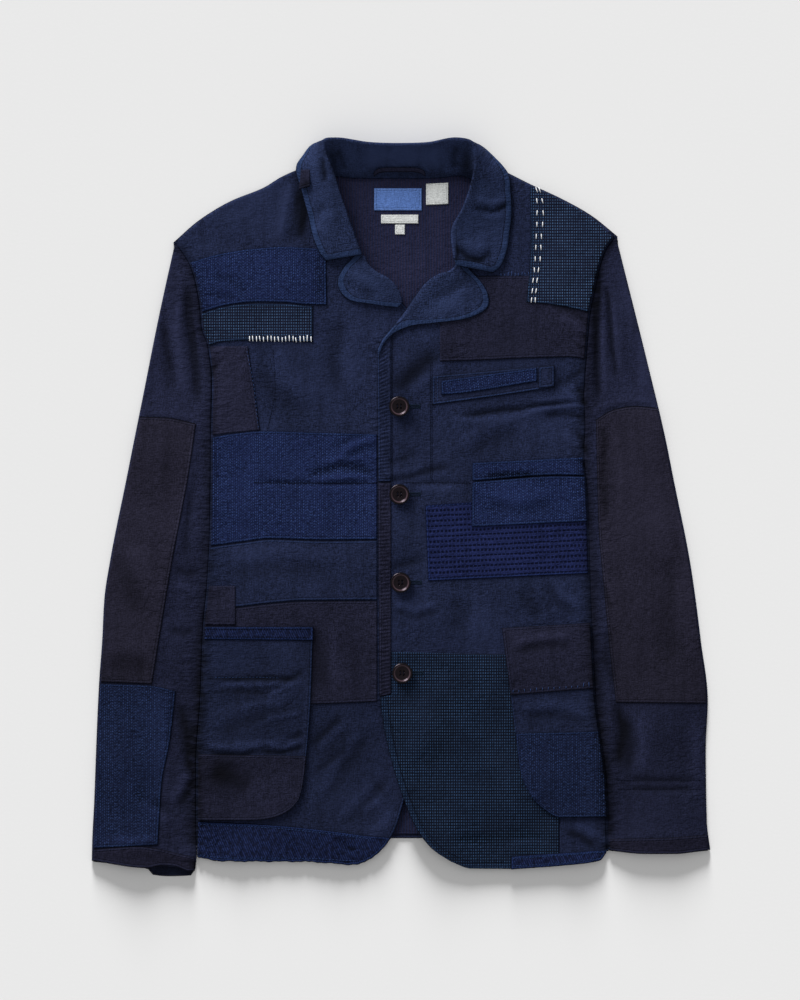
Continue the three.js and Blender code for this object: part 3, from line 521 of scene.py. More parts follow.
# Seams that pucker the cloth beside them: line, reach to each side, amount.
UPRIGHT_SEAMS = [
    (RIGHT_SIDE, 34, 0.95),
    (LEFT_SIDE, 26, 0.9),
    ([(-250, -176), (-234, -80), (-220, 0), (-205, 84)], 12, 0.7),
    ([(-232, -182), (-238, -336)], 11, 0.9),
    ([(-212, -120), (-206, -338)], 12, 0.8),
    ([(200, 80), (212, -330)], 12, 0.8),
    ([(27, 180), (27, -188)], 6, 0.3),
    ([(-23, 170), (-23, -190)], 16, 1.0),
    ([(-88, -130), (-98, -290)], 7, 0.6),
]
LEVEL_SEAMS = [
    ([(-309, -340), (-204, -345)], 12, 0.8),
    ([(207, -331), (308, -327)], 10, 0.6),
]


def spots(x, y, places):
    """Sum of round soft spots: the amount times a bell of the distance from each middle."""
    return sum(
        amount * np.exp(-(((x - cx) / rx) ** 2) - ((y - cy) / ry) ** 2) for cx, cy, rx, ry, amount in places)


def wear_and_shade_of(x, y, creases):
    """Three fields at each point: tone, which is fading or grime and also painted shade towards the hem,
    beside the body's sides and in crease troughs, painted light on crease ridges and painted shadows; pucker
    beside upright seams; pucker beside level ones.
    """
    # painted shade towards the hem, plus the spots of fading, grime, painted shade and painted shadow
    tone = HEM_SHADE * smooth((HEM_SHADE_FROM - y) / HEM_SHADE_LENGTH) + spots(x, y, TONES_AND_SHADOWS)
    # painted shade beside the body's sides, in the valley between body and sleeve
    for side in (RIGHT_SIDE, LEFT_SIDE):
        tone = tone + SIDE_SHADE * np.exp(-(((x - edge_at(side, y)) / SIDE_SHADE_REACH) ** 2))
    # painted light and shade from the creases: ridges lighter, troughs darker
    fields = [tone + FOLD_LIGHT_AND_SHADE * np.clip(folds_of(x, y, creases), *FOLD_LIGHT_AND_SHADE_LIMITS)]
    for seams in (UPRIGHT_SEAMS, LEVEL_SEAMS):
        field = np.zeros(np.shape(x))
        for line, reach, amount in seams:
            line = line[::EVERY] if isinstance(line, np.ndarray) else line
            away = np.abs(beside(x, y, line)[0])
            field = np.maximum(field, amount * smooth(1 - away / reach))
        fields.append(field)
    return np.stack(fields, axis=-1)


# ---------------------------------------------------------------- meshes


def mesh_object(name, points, quads, material, uv=None, fields=None):
    """A mesh from arrays: points in millimetres, four-sided faces, its thread directions as UV in metres."""
    mesh = bpy.data.meshes.new(name)
    mesh.vertices.add(len(points))
    mesh.vertices.foreach_set("co", (np.asarray(points, np.float64) * MM).astype(np.float32).ravel())
    quads = np.asarray(quads, np.int32)
    mesh.loops.add(quads.size)
    mesh.loops.foreach_set("vertex_index", quads.ravel())
    mesh.polygons.add(len(quads))
    mesh.polygons.foreach_set("loop_start", np.arange(0, quads.size, 4, dtype=np.int32))
    mesh.polygons.foreach_set("use_smooth", np.ones(len(quads), bool))
    if uv is not None:
        layer = mesh.uv_layers.new(name="thread")
        layer.data.foreach_set("uv", (uv[quads.ravel()] * MM).astype(np.float32).ravel())
    for key, values in (fields or {}).items():
        attribute = mesh.attributes.new(key, "FLOAT_VECTOR", "POINT")
        attribute.data.foreach_set("vector", values.astype(np.float32).ravel())
    mesh.update(calc_edges=True)
    mesh.validate()
    made = bpy.data.objects.new(name, mesh)
    bpy.context.scene.collection.objects.link(made)
    made.data.materials.append(material)
    return made


def grid_quads(index):
    """Faces of a grid of point numbers."""
    return np.stack([index[:-1, :-1], index[:-1, 1:], index[1:, 1:], index[1:, :-1]], axis=-1).reshape(-1, 4)


def wall_object(name, top, under, material, uv, edge, wear_and_shade):
    """Closed wall of an upper and a lower grid of points that share their outermost line."""
    rows, columns = top.shape[:2]
    upper = np.arange(rows * columns).reshape(rows, columns)
    lower = upper.copy()
    inside = (rows - 2) * (columns - 2)
    lower[1:-1, 1:-1] = rows * columns + np.arange(inside).reshape(rows - 2, columns - 2)
    quads = np.concatenate([grid_quads(upper), grid_quads(lower)[:, ::-1]])

    def both(field):
        field = np.asarray(field, float)
        return np.concatenate([field.reshape(rows * columns, -1), field[1:-1, 1:-1].reshape(inside, -1)])

    points = np.concatenate([top.reshape(-1, 3), under[1:-1, 1:-1].reshape(-1, 3)])
    fields = {"edge": both(edge), "wear_and_shade": both(wear_and_shade)}
    return mesh_object(name, points, quads, material, both(uv), fields)


def grid_lines(size, step, low, high):
    """Lines across a piece, as a share of its width plus a shift in millimetres: close together beside
    the two edges, at the shifts low and high, and evenly spaced between."""
    share = np.linspace(0, 1, max(2, round(size / step)) + 1)
    shares = np.concatenate([np.zeros(len(low) - 1), share, np.ones(len(high) - 1)])
    between = low[-1] * (1 - share) - high[-1] * share
    return shares, np.concatenate([low[:-1], between, -high[:-1][::-1]])


def coons(sides, u, v):
    """Point of a four-sided piece at shares u across and v up. It is the line between the bottom and the
    top point, plus the line between the left and the right point, minus the blend of the four corners."""
    bottom, top, left, right = sides
    upward = (1 - v) * along(bottom, u[..., 0]) + v * along(top, u[..., 0])
    across = (1 - u) * along(left, v[..., 0]) + u * along(right, v[..., 0])
    corners = (1 - u) * ((1 - v) * bottom[0] + v * top[0]) + u * ((1 - v) * bottom[-1] + v * top[-1])
    return upward + across - corners


def turned(grid, side):
    """A grid seen with the edge at that side as its first column."""
    if side == "top":
        return np.swapaxes(grid[::-1], 0, 1)
    return grid[:, ::-1] if side == "right" else grid


def turned_back(grid, side):
    return np.swapaxes(grid, 0, 1)[::-1] if side == "top" else turned(grid, side)


def lipped(top, under, fields, side, reach, floor):
    """Adds the turned lip of a folded edge: from the edge the upper grid runs down a half ellipse that
    bulges outwards by the reach, down to the floor, and the lower grid runs inside it."""
    top, under, *fields = (turned(grid, side) for grid in (top, under, *fields))
    edge, low = top[:, 0], under[:, 0]
    tangent = np.gradient(edge[:, :2], axis=0)
    outward = np.column_stack([tangent[:, 1], -tangent[:, 0]])
    outward /= np.maximum(np.linalg.norm(outward, axis=1, keepdims=True), 1e-6)
    outward *= np.sign((outward * (edge - top[:, 4])[:, :2]).sum())
    run = lengths(edge[:, :2])
    taper = smooth((run[-1] - run) / LIP_TAPER)
    if side == "top":
        taper = taper * smooth(run / LIP_TAPER)
    half = (edge[:, 2] - floor) / 2
    tight = np.maximum(1 - (edge[:, 2] - low[:, 2]) / np.maximum(half, 1e-6), LEAST_LIP)
    outer, inner = [], []
    for angle in np.radians(LIP_ANGLES):
        out, up = outward * (reach * taper * math.sin(angle))[:, None], half * math.cos(angle)
        outer.append(np.column_stack([edge[:, :2] + out, floor + half + up]))
        inner.append(np.column_stack([edge[:, :2] + out * tight[:, None], floor + half + up * tight]))
    grids = [(outer, top), (inner, under)] + [([f[:, 0]] * len(outer), f) for f in fields]
    top, under, *fields = (
        turned_back(np.concatenate([np.stack(lip, axis=1), grid], axis=1), side) for lip, grid in grids)
    return top, under, fields


def finish_piece(made, node, width, length, area):
    """Rides on the garment's one body and stands for its solid. The size it was cut to is worked out but not
    used.
    """
    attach(made, "root")
    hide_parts(node)
    width, length = max(width, LEAST_SIDE) * MM, max(length, LEAST_SIDE) * MM
    area = min(max(area * MM * MM, LEAST_SHARE * width * length), width * length)


def surface_area(grid):
    """Area of a grid of points: half the sum of the lengths of its cells' crossed diagonals."""
    first, second = grid[1:, 1:] - grid[:-1, :-1], grid[1:, :-1] - grid[:-1, 1:]
    return np.linalg.norm(np.cross(first, second), axis=-1).sum() / 2


def cloth(node, look, rests_on, bottom, top, left=None, right=None, layer=table_layer, lift=0.0,
          thickness=PATCH, step=1.9, folds={}, bare=(), ripple=None, grain=0.0):
    """Cuts a four-sided piece and lays it on its layer. Its upper side follows the layer at the piece's
    thickness and drops to its underside along a quarter ellipse at a cut edge, or turns down in a lip at
    a folded one. folds gives each folded side's floor, bare names the sides that show no worn edge, and
    grain is the threads' lean in degrees."""
    material, slot = look
    bottom, top = (side if isinstance(side, np.ndarray) else curve(side) for side in (bottom, top))
    left = [bottom[0], top[0]] if left is None else left
    right = [bottom[-1], top[-1]] if right is None else right
    left, right = (side if isinstance(side, np.ndarray) else curve(side) for side in (left, right))
    sides = (bottom, top, left, right)
    width = (lengths(bottom)[-1] + lengths(top)[-1]) / 2
    height = (lengths(left)[-1] + lengths(right)[-1]) / 2

    def start(side):
        bulge = SHOULDER_FOLD if side == "top" else FOLD
        return np.array([bulge, bulge + LIP_STEP]) if side in folds else RIM

    def span(first, second):
        return np.linalg.norm(coons(sides, *second) - coons(sides, *first), axis=-1)

    shares, shifts = grid_lines(width, step, start("left"), start("right"))
    rises, lifts = grid_lines(height, step, start("bottom"), start("top"))
    ups, none, whole = np.clip(rises, 0, 1)[:, None, None], np.zeros((1, 1, 1)), np.ones((1, 1, 1))
    row_width = span((none + 0 * ups, ups), (whole + 0 * ups, ups))
    overs = shares[None, :, None]
    column_height = span((overs, none + 0 * overs), (overs, whole + 0 * overs))
    room = np.maximum(row_width, LEAST_ROOM)
    squeeze = np.minimum(1, EDGE_SHARE * room / max(start("left")[-1], start("right")[-1]))
    u = shares[None, :] + shifts[None, :] * squeeze / room
    v = rises[:, None] + lifts[:, None] / np.maximum(column_height, LEAST_HEIGHT)
    plan = coons(sides, u[..., None], v[..., None])
    x, y = plan[..., 0], plan[..., 1]
    across, up = u * row_width, v * height

    away = {
        "left": across, "right": row_width - across,
        "bottom": v * column_height, "top": (1 - v) * column_height,
    }

    def nearest(names, hidden=()):
        shown = [away[side] for side in names if side not in folds and side not in hidden]
        return np.minimum.reduce(shown + [np.full_like(x, FAR)])

    rise = np.sqrt(np.clip(1 - (1 - np.clip(nearest(away) / ROUNDING, 0, 1)) ** 2, 0, 1))
    base = layer(x, y) + lift
    if ripple is not None:
        base = base + ripple(across, up, width, height)
    upper, lower = np.dstack([x, y, base + thickness * rise]), np.dstack([x, y, base])
    edge = np.dstack([nearest(names, bare) for names in (("left", "right"), ("bottom", "top"), away)])
    lean = math.radians(grain)
    px, py = np.moveaxis(plan - plan.reshape(-1, 2).min(axis=0), -1, 0)
    threads = THREADS_FROM + np.dstack([
        px * math.cos(lean) + py * math.sin(lean), py * math.cos(lean) - px * math.sin(lean)])
    fields = [threads, edge, wear_and_shade_of(x, y, BODY_CREASES + SLEEVE_CREASES)]
    for side, floor in folds.items():
        reach = SHOULDER_FOLD if side == "top" else FOLD * np.broadcast_to(squeeze, room.shape)[:, 0]
        upper, lower, fields = lipped(upper, lower, fields, side, reach, floor)
    made = wall_object(node + "_cloth", upper, lower, material, *fields)
    spans = np.ptp(plan.reshape(-1, 2), axis=0)
    finish_piece(made, node, spans[0], spans[1], surface_area(upper))


# ---------------------------------------------------------------- finishes


def srgb(red, green, blue):
    """A colour from 0 to 255 a channel, as linear light."""
    share = np.array([red, green, blue]) / 255
    linear = np.where(share <= 0.04045, share / 12.92, ((share + 0.055) / 1.055) ** 2.4)
    return (*linear.tolist(), 1.0)


class Finish:
    """A material and short names for the nodes that it is made of."""

    def __init__(self, name):
        self.material = bpy.data.materials.new(name)
        self.material.use_nodes = True
        self.tree = self.material.node_tree
        self.tree.nodes.clear()
        self.shader = self.node("ShaderNodeBsdfPrincipled")
        output = self.node("ShaderNodeOutputMaterial")
        self.tree.links.new(self.shader.outputs[0], output.inputs[0])

    def node(self, kind, values=(), **settings):
        """A node with its first sockets linked to, or set to, the values."""
        made = self.tree.nodes.new(kind)
        for key, value in settings.items():
            setattr(made, key, value)
        for socket, value in zip(made.inputs, values):
            if isinstance(value, bpy.types.NodeSocket):
                self.tree.links.new(value, socket)
            else:
                socket.default_value = value
        return made

    def math(self, operation, *values, clamp=False):
        return self.node("ShaderNodeMath", values, operation=operation, use_clamp=clamp).outputs[0]

    def times(self, *values):
        return functools.reduce(lambda first, second: self.math("MULTIPLY", first, second), values)

    def total(self, *values):
        return functools.reduce(lambda first, second: self.math("ADD", first, second), values)

    def raised(self, value, gain, base, clamp=False):
        """The value times the gain, on top of the base."""
        return self.math("MULTIPLY_ADD", value, gain, base, clamp=clamp)

    def away(self, value, middle):
        return self.math("ABSOLUTE", self.math("SUBTRACT", value, middle))

    def mix(self, share, first, second):
        made = self.node("ShaderNodeMix", (share,), data_type="RGBA", clamp_factor=True)
        for socket, color in ((made.inputs[6], first), (made.inputs[7], second)):
            if isinstance(color, bpy.types.NodeSocket):
                self.tree.links.new(color, socket)
            else:
                socket.default_value = color
        return made.outputs[2]

    def ramp(self, value, low, high):
        """0 below low, 1 above high, smooth between."""
        values = (value, low, high, 0.0, 1.0)
        return self.node("ShaderNodeMapRange", values, interpolation_type="SMOOTHSTEP").outputs[0]

    def fade(self, value, low, high):
        """1 below low, 0 above high, smooth between."""
        return self.math("SUBTRACT", 1.0, self.ramp(value, low, high))

    def band(self, value, low, high, soft):
        """1 between low and high, with soft ends."""
        inner, outer = (self.ramp(value, end - soft, end + soft) for end in (low, high))
        return self.math("SUBTRACT", inner, outer, clamp=True)

    def noise(self, vector, x, y, z, detail, roughness=0.5):
        """Noise with so many cells a metre along each axis."""
        cells = self.node("ShaderNodeVectorMath", (vector, (x, y, z)), operation="MULTIPLY").outputs[0]
        made = self.node("ShaderNodeTexNoise", noise_dimensions="3D")
        self.tree.links.new(cells, made.inputs["Vector"])
        for name, value in (("Scale", 1.0), ("Detail", detail), ("Roughness", roughness)):
            made.inputs[name].default_value = value
        return made.outputs["Fac"]

    def split(self, vector):
        return tuple(self.node("ShaderNodeSeparateXYZ", (vector,)).outputs)

    def threads(self):
        return self.node("ShaderNodeUVMap", uv_map="thread").outputs[0]

    def field(self, name):
        return self.split(self.node("ShaderNodeAttribute", attribute_name=name).outputs["Vector"])

    def place(self):
        return self.node("ShaderNodeTexCoord").outputs["Object"]

    def wave(self, value, pitch):
        """Sine of a length with the given pitch, from 0 to 1."""
        return self.raised(self.math("SINE", self.times(value, 2 * math.pi / pitch)), 0.5, 0.5)

    def surface(self, color, height, roughness=0.95, specular=0.03):
        """Links colour and height, in metres, to the shader, and sets its even values."""
        self.tree.links.new(color, self.shader.inputs["Base Color"])
        self.shader.inputs["Roughness"].default_value = roughness
        self.shader.inputs["Specular IOR Level"].default_value = specular
        bump = self.node("ShaderNodeBump")
        bump.inputs["Strength"].default_value = 1.0
        bump.inputs["Distance"].default_value = 1.0
        self.tree.links.new(height, bump.inputs["Height"])
        self.tree.links.new(bump.outputs[0], self.shader.inputs["Normal"])
        return self.material


def dashes(finish, s, t, across, down, width, height, soft=0.0003):
    """One soft-edged dash in the middle of every cell of a lattice: a box across times a box down."""
    boxes = []
    for value, pitch, size in ((s, across, width), (t, down, height)):
        away = finish.away(finish.math("MODULO", value, pitch), pitch / 2)
        boxes.append(finish.fade(away, size / 2 - soft, size / 2 + soft))
    return finish.times(*boxes)


def uneven(finish, mask, wide, single, least=0.0):
    """A mask that fades from place to place, and from thread to thread down to the least share."""
    threads = finish.threads()
    patchy = finish.ramp(finish.noise(threads, wide, wide, 1, 1), 0.3, 0.7)
    lone = finish.ramp(finish.noise(threads, single, single, 1, 0), 0.25, 0.65)
    return finish.times(mask, finish.raised(patchy, 0.4, 0.6), finish.raised(lone, 1 - least, least))


def herringbone(finish, s, t):
    """Herringbone of short floats: a lattice of ticks whose rows climb and fall with every column, and a
    darker line between the columns."""
    column = 0.0039
    climbing = finish.raised(finish.math("PINGPONG", s, column), 0.9, t)
    floats = dashes(finish, s, climbing, 0.0021, 0.0028, 0.0012, 0.0016)
    line = finish.ramp(finish.wave(finish.total(s, column / 4), column), 0.1, 0.5)
    return uneven(finish, finish.times(floats, finish.raised(line, 0.5, 0.5)), 45, 380)


def dotted(finish, s, t):
    """Dobby dots in level rows 2.9 mm apart: short dashes 2.4 mm apart, every other column stronger."""
    across = 0.0024
    every_other = finish.math("LESS_THAN", finish.math("MODULO", s, 2 * across), across)
    dots = dashes(finish, s, t, across, 0.0029, 0.0011, 0.0014)
    return uneven(finish, finish.times(dots, finish.raised(every_other, 0.3, 0.7)), 40, 420, 0.6)


def open_dots(finish, s, t):
    """Level dobby dots, 2.4 mm apart and 2.9 mm down."""
    return uneven(finish, dashes(finish, s, t, 0.0024, 0.0029, 0.0010, 0.0015), 32, 420, 0.55)


def sashiko(finish, s, t):
    """Quilting rows 5.2 mm apart: a row of long dark dashes, then a row of round dots, over and over."""
    row = 0.0052
    drift = finish.noise(finish.threads(), 60, 200, 1, 1)
    s, t = finish.raised(drift, 0.0020, s), finish.raised(drift, 0.0016, t)
    long_row = dashes(finish, s, t, 0.0041, 2 * row, 0.0030, 0.0017, 0.0006)
    dot_row = dashes(finish, s, finish.total(t, row), 0.0039, 2 * row, 0.0023, 0.0023, 0.0007)
    return finish.math("MAXIMUM", long_row, dot_row)


def striped(finish, s, t):
    """Fine upright stripes 2.8 mm apart."""
    return finish.times(finish.wave(s, 0.0028), 0.75)


def crinkle(finish, s, t):
    """Crinkled cloth: fine slanting ribs, broken up by small bumps."""
    ribs = finish.wave(finish.raised(t, 0.45, s), 0.0023)
    return finish.times(ribs, finish.ramp(finish.noise(finish.threads(), 330, 210, 1, 1), 0.3, 0.7))


def shades(mean, spread):
    """Ground, thread, faded and deep tone of a cloth, from its mean colour."""
    mean = np.array(mean, float)
    tones = mean * (1 - 0.42 * spread), mean * (1 + 0.40 * spread), mean * 1.3 + 3, mean * 0.4
    return [srgb(*np.clip(tone, 0, 255)) for tone in tones]


def cloth_finish(name, mean, pattern=None, motif=None, motif_height=0.0, edge=None, edge_share=0.3,
                 edge_width=2.2, stitch_at=2.8, stitch_share=0.5, weave_height=0.00013,
                 crumple_height=0.0011, cloud=0.5, edge_shade=0.85, spread=0.7, wrinkled=1.0):
    """Woven cloth, wear, painted shade and edges. Distances from the edge are in millimetres and heights in
    metres.
    """
    finish = Finish(name)
    ground, thread, faded, deep = shades(mean, spread)
    threads, place = finish.threads(), finish.place()
    s, t, _ = finish.split(threads)
    along_x, along_y, nearest = finish.field("edge")
    tone, pucker_up, pucker_level = finish.field("wear_and_shade")

    # weave: two long thin noises are warp and weft, and their mean picks ground or thread colour
    warp, weft = finish.noise(threads, 980, 150, 1, 0), finish.noise(threads, 190, 980, 1, 0)
    fine = finish.times(finish.noise(threads, 760, 760, 1, 0), 0.4)
    weave = finish.ramp(finish.raised(finish.total(warp, weft), 0.3, fine), 0.3, 0.7)
    color = finish.mix(weave, ground, thread)

    # fading and deeper dye: broad clouds and upright streaks; then the tone field, which also holds painted
    # shade and painted shadows
    clouds = finish.ramp(finish.noise(place, 14, 20, 22, 1), 0.3, 0.8)
    streaks = finish.ramp(finish.noise(place, 130, 16, 34, 1), 0.4, 0.8)
    color = finish.mix(finish.times(clouds, cloud * 0.5), color, faded)
    color = finish.mix(finish.times(streaks, cloud * 0.4), color, deep)
    # tone above 0 fades the cloth; below 0 deepens it, as dye or grime and as painted shade and painted
    # shadow
    color = finish.mix(finish.math("MAXIMUM", tone, 0.0), color, faded)
    color = finish.mix(finish.math("MAXIMUM", finish.times(tone, -1.0), 0.0), color, deep)

    # puckers: ridges across the seam, faded on top
    flat_ridges = finish.noise(place, 70, 190, 1, 2, 0.6)
    upright_ridges = finish.noise(place, 190, 70, 1, 2, 0.6)
    ridges = finish.total(finish.times(flat_ridges, pucker_up), finish.times(upright_ridges, pucker_level))
    color = finish.mix(finish.times(finish.ramp(ridges, 0.35, 0.75), 0.35), color, faded)

    # crumples, thin wrinkles in some places darkened with painted shade, and a pebbled surface
    crumple = finish.noise(place, 75, 95, 40, 3, 0.55)
    height = finish.raised(crumple, crumple_height, finish.times(weave, weave_height))
    thin = finish.fade(finish.away(finish.noise(place, 46, 84, 30, 2, 0.6), 0.5), 0.0, 0.075)
    some = finish.ramp(finish.noise(place, 19, 15, 20, 1), 0.42, 0.68)
    wrinkle = finish.times(thin, some, wrinkled)
    # painted shade along the thin wrinkles
    color = finish.mix(finish.times(wrinkle, 0.12), color, deep)
    height = finish.raised(wrinkle, -0.0003, height)
    height = finish.raised(finish.noise(place, 300, 380, 60, 1), 0.0003 * wrinkled, height)
    height = finish.raised(ridges, 0.0028, height)

    if pattern is not None:
        mask = pattern(finish, s, t)
        color = finish.mix(mask, color, srgb(*motif))
        height = finish.raised(mask, motif_height, height)

    # turned edge: painted shade at the very edge, then worn lighter, with a stitched furrow inside
    upright = finish.math("LESS_THAN", along_x, along_y)
    bite = finish.wave(finish.raised(upright, finish.math("SUBTRACT", t, s), s), 0.0036)
    if edge is not None:
        rough = finish.raised(finish.noise(place, 260, 260, 1, 2), 1.0, 0.25, clamp=True)
        worn = finish.times(finish.band(nearest, 0.8, edge_width, 0.45), rough)
        color = finish.mix(finish.times(worn, edge_share), color, srgb(*edge))
        height = finish.raised(finish.times(worn, bite), 0.0003, height)
    furrow = finish.band(nearest, stitch_at - 0.35, stitch_at + 0.35, 0.3)
    furrow = finish.times(furrow, finish.raised(bite, 0.6, 0.4))
    color = finish.mix(finish.times(furrow, stitch_share), color, deep)
    height = finish.raised(furrow, -0.0004, height)
    # painted shade in the groove at the very edge
    color = finish.mix(finish.times(finish.fade(nearest, 0.3, 1.1), edge_shade), color, deep)
    return finish.surface(color, height)


NAVY = cloth_finish(
    "navy_cloth", (30, 36, 59), edge=(38, 56, 96), edge_share=0.35, cloud=0.7, crumple_height=0.0014,
    spread=0.85)
SLEEVE_NAVY = cloth_finish("sleeve_navy_cloth", (31, 34, 54), edge=(38, 50, 84))
DEEP_NAVY = cloth_finish("under_sleeve_cloth", (26, 30, 47))
BROWN = cloth_finish(
    "brown_navy_cloth", (32, 33, 50), edge=(38, 42, 66), edge_share=0.25, cloud=0.65, crumple_height=0.0014,
    spread=0.85)
ELBOW = cloth_finish("elbow_cloth", (33, 32, 45), edge=(38, 40, 60), edge_share=0.25, cloud=0.6)
HERRINGBONE = cloth_finish(
    "herringbone_cloth", (23, 30, 59), herringbone, (53, 72, 120), 0.0004, (36, 58, 100))
DEEP_HERRINGBONE = cloth_finish(
    "deep_herringbone_cloth", (22, 28, 51), herringbone, (45, 62, 102), 0.0003, (32, 50, 88))
DOTTED = cloth_finish("dotted_cloth", (21, 23, 38), dotted, (74, 104, 143), 0.0004, (34, 60, 98))
DARK_DOTTED = cloth_finish(
    "dark_dotted_cloth", (18, 22, 35), open_dots, (53, 80, 116), 0.0004, (26, 44, 74), 0.2, edge_width=6.4,
    stitch_at=7.4, stitch_share=0.8)
SASHIKO = cloth_finish("sashiko_cloth", (28, 35, 71), sashiko, (11, 14, 33), -0.0005, (38, 58, 112))
HEM_BLUE = cloth_finish("hem_blue_cloth", (20, 25, 47), crinkle, (36, 48, 90), 0.0005, (36, 56, 104), 0.35)
COLLAR = cloth_finish(
    "collar_cloth", (32, 40, 65), edge=(42, 62, 100), edge_share=0.45, edge_width=6.4, stitch_at=7.2,
    stitch_share=0.95, weave_height=0.0003, crumple_height=0.0018, cloud=0.85, spread=0.95)
LINING_CLOTH = cloth_finish("lining_cloth", (39, 37, 56), striped, (30, 39, 68), 0.0002, cloud=0.7)
CUFF = cloth_finish("cuff_cloth", (32, 32, 48), edge=(40, 46, 72))
LABEL_BLUE = cloth_finish(
    "blue_label_cloth", (88, 118, 180), edge=(120, 150, 210), edge_width=1.6, stitch_at=2.4, stitch_share=0.3,
    cloud=0.2, edge_shade=0.3, spread=0.3, wrinkled=0.1)
LABEL_WHITE = cloth_finish(
    "white_label_cloth", (216, 219, 218), edge=(238, 240, 238), edge_width=1.2, stitch_at=1.8,
    stitch_share=0.1, cloud=0.15, edge_shade=0.2, spread=0.18, wrinkled=0.1)


def thread_finish(name, ground, light):
    """Twisted sewing thread: fine slanting stripes of a lighter ply."""
    finish = Finish(name)
    plies = finish.wave(finish.total(*finish.split(finish.place())), 0.0011)
    color = finish.mix(plies, srgb(*ground), srgb(*light))
    return finish.surface(color, finish.times(plies, 0.0001), roughness=0.6)


WHITE_THREAD = thread_finish("white_thread", (228, 232, 238), (252, 252, 252))
BLUE_THREAD = thread_finish("blue_thread", (36, 54, 94), (58, 80, 128))
DARK_THREAD = thread_finish("dark_thread", (8, 10, 20), (18, 22, 38))
TEAL_THREAD = thread_finish("buttonhole_thread", (12, 20, 30), (26, 40, 56))


def horn_finish():
    """Polished near-black horn with plum streaks and specks, a lighter ring painted on the inner wall of the
    rim as a painted highlight, and black outside it. The edge field holds the distance from the button's axis
    in millimetres."""
    finish = Finish("dark_horn")
    place = finish.place()
    streaks = finish.ramp(finish.noise(place, 260, 90, 200, 4, 0.65), 0.35, 0.7)
    specks = finish.ramp(finish.noise(place, 900, 900, 900, 2), 0.55, 0.75)
    radius = finish.field("edge")[0]
    # painted highlight: a lighter ring on the inner wall of the rim, which the key light brightens on one
    # side
    painted_highlight_ring = finish.times(finish.band(radius, 7.2, 8.2, 0.4), 0.34)
    color = finish.mix(streaks, srgb(3, 2, 4), srgb(13, 8, 11))
    color = finish.mix(finish.times(specks, 0.4), color, srgb(28, 18, 23))
    color = finish.mix(painted_highlight_ring, color, srgb(112, 88, 98))
    color = finish.mix(finish.ramp(radius, 8.3, 8.7), color, srgb(1, 1, 2))
    made = finish.surface(color, finish.times(streaks, 0.00002), roughness=0.28, specular=0.2)
    finish.shader.inputs["Specular Tint"].default_value = (0.94, 0.76, 0.92, 1.0)
    finish.shader.inputs["Coat Weight"].default_value = 0.05
    finish.shader.inputs["Coat Roughness"].default_value = 0.15
    return made


HORN = horn_finish()

NAVY_LOOK = (NAVY, "plain_navy")
BROWN_LOOK = (BROWN, "brown_navy")
ELBOW_LOOK = (ELBOW, "brown_navy")
HERRINGBONE_LOOK = (HERRINGBONE, "blue_herringbone")
DEEP_HERRINGBONE_LOOK = (DEEP_HERRINGBONE, "blue_herringbone")
DOTTED_LOOK = (DOTTED, "dotted_navy")
HEM_LOOK = (HEM_BLUE, "hem_blue")
SLEEVE_LOOK = (SLEEVE_NAVY, "sleeve_navy")

# ---------------------------------------------------------------- back, lining, under sleeves


def make_back():
    """The back lies on the table and the striped lining on it."""
    neck = curve([(-86, 335), (-64, 336), (-50, 336), (40, 336), (54, 336), (92, 335)])
    neck = neck[(neck[:, 0] > -64) & (neck[:, 0] < 54)]
    cloth("back_panel", (SLEEVE_NAVY, "plain_navy"), ["table"],
          [(-203, -336), (-100, -331), (10, -330.5), (110, -331), (206, -334)],
          np.vstack([RIGHT_SHOULDER - (0, 1), neck, LEFT_SHOULDER - (0, 1)]),
          stretch(RIGHT_SIDE, -336, 266, -UNDERLAP), stretch(LEFT_SIDE, -334, 272, UNDERLAP),
          thickness=BACK, step=6.0)
    inset = 24
    cloth("back_lining", (LINING_CLOTH, "striped_lining"), ["back_panel"],
          [(-178, -326), (10, -326.5), (178, -326)],
          [(-190, 284), (-120, 318), (-90, 333), (-64, 334.5), (-50, 335), (40, 335), (54, 334.5), (92, 333),
           (125, 314), (180, 284)],
          np.vstack([(-178, -326), stretch(RIGHT_SIDE, -300, 250, inset), (-190, 284)]),
          np.vstack([(178, -326), stretch(LEFT_SIDE, -300, 250, -inset), (180, 284)]),
          lift=BACK + GAP, thickness=LINING, step=5.0, bare=("left", "right", "top"))


def make_under_sleeves():
    """The under half of each sleeve lies on the table, from beside the back to inside the outer fold."""
    look, under, fold_inset = (DEEP_NAVY, "sleeve_navy"), UNDERLAP + SIDE_GAP, 1.2
    cloth("sleeve_right_under", look, ["table"],
          [(-308, -354), (-254, -361), (-249, -367), (-233, -368.6), (-209, -367.6), (-205.6, -360)],
          [(-226.4, 264), (-225.4, 264)],
          np.vstack([(-308, -354), stretch(RIGHT_SLEEVE_FOLD, -345, 255, fold_inset), (-226.4, 264)]),
          np.vstack([(-205.6, -360), stretch(RIGHT_SIDE, -349, 262, -under), (-225.4, 264)]),
          thickness=BACK, step=4.0)
    cloth("sleeve_left_under", look, ["table"],
          [(208.6, -343), (245, -346), (274, -346), (307, -343)], [(216.2, 268), (217.2, 268)],
          np.vstack([(208.6, -343), stretch(LEFT_SIDE, -335, 262, under), (216.2, 268)]),
          np.vstack([(307, -343), stretch(LEFT_SLEEVE_FOLD, -335, 260, -fold_inset), (217.2, 268)]),
          thickness=BACK, step=4.0)


# ---------------------------------------------------------------- fronts and sleeves


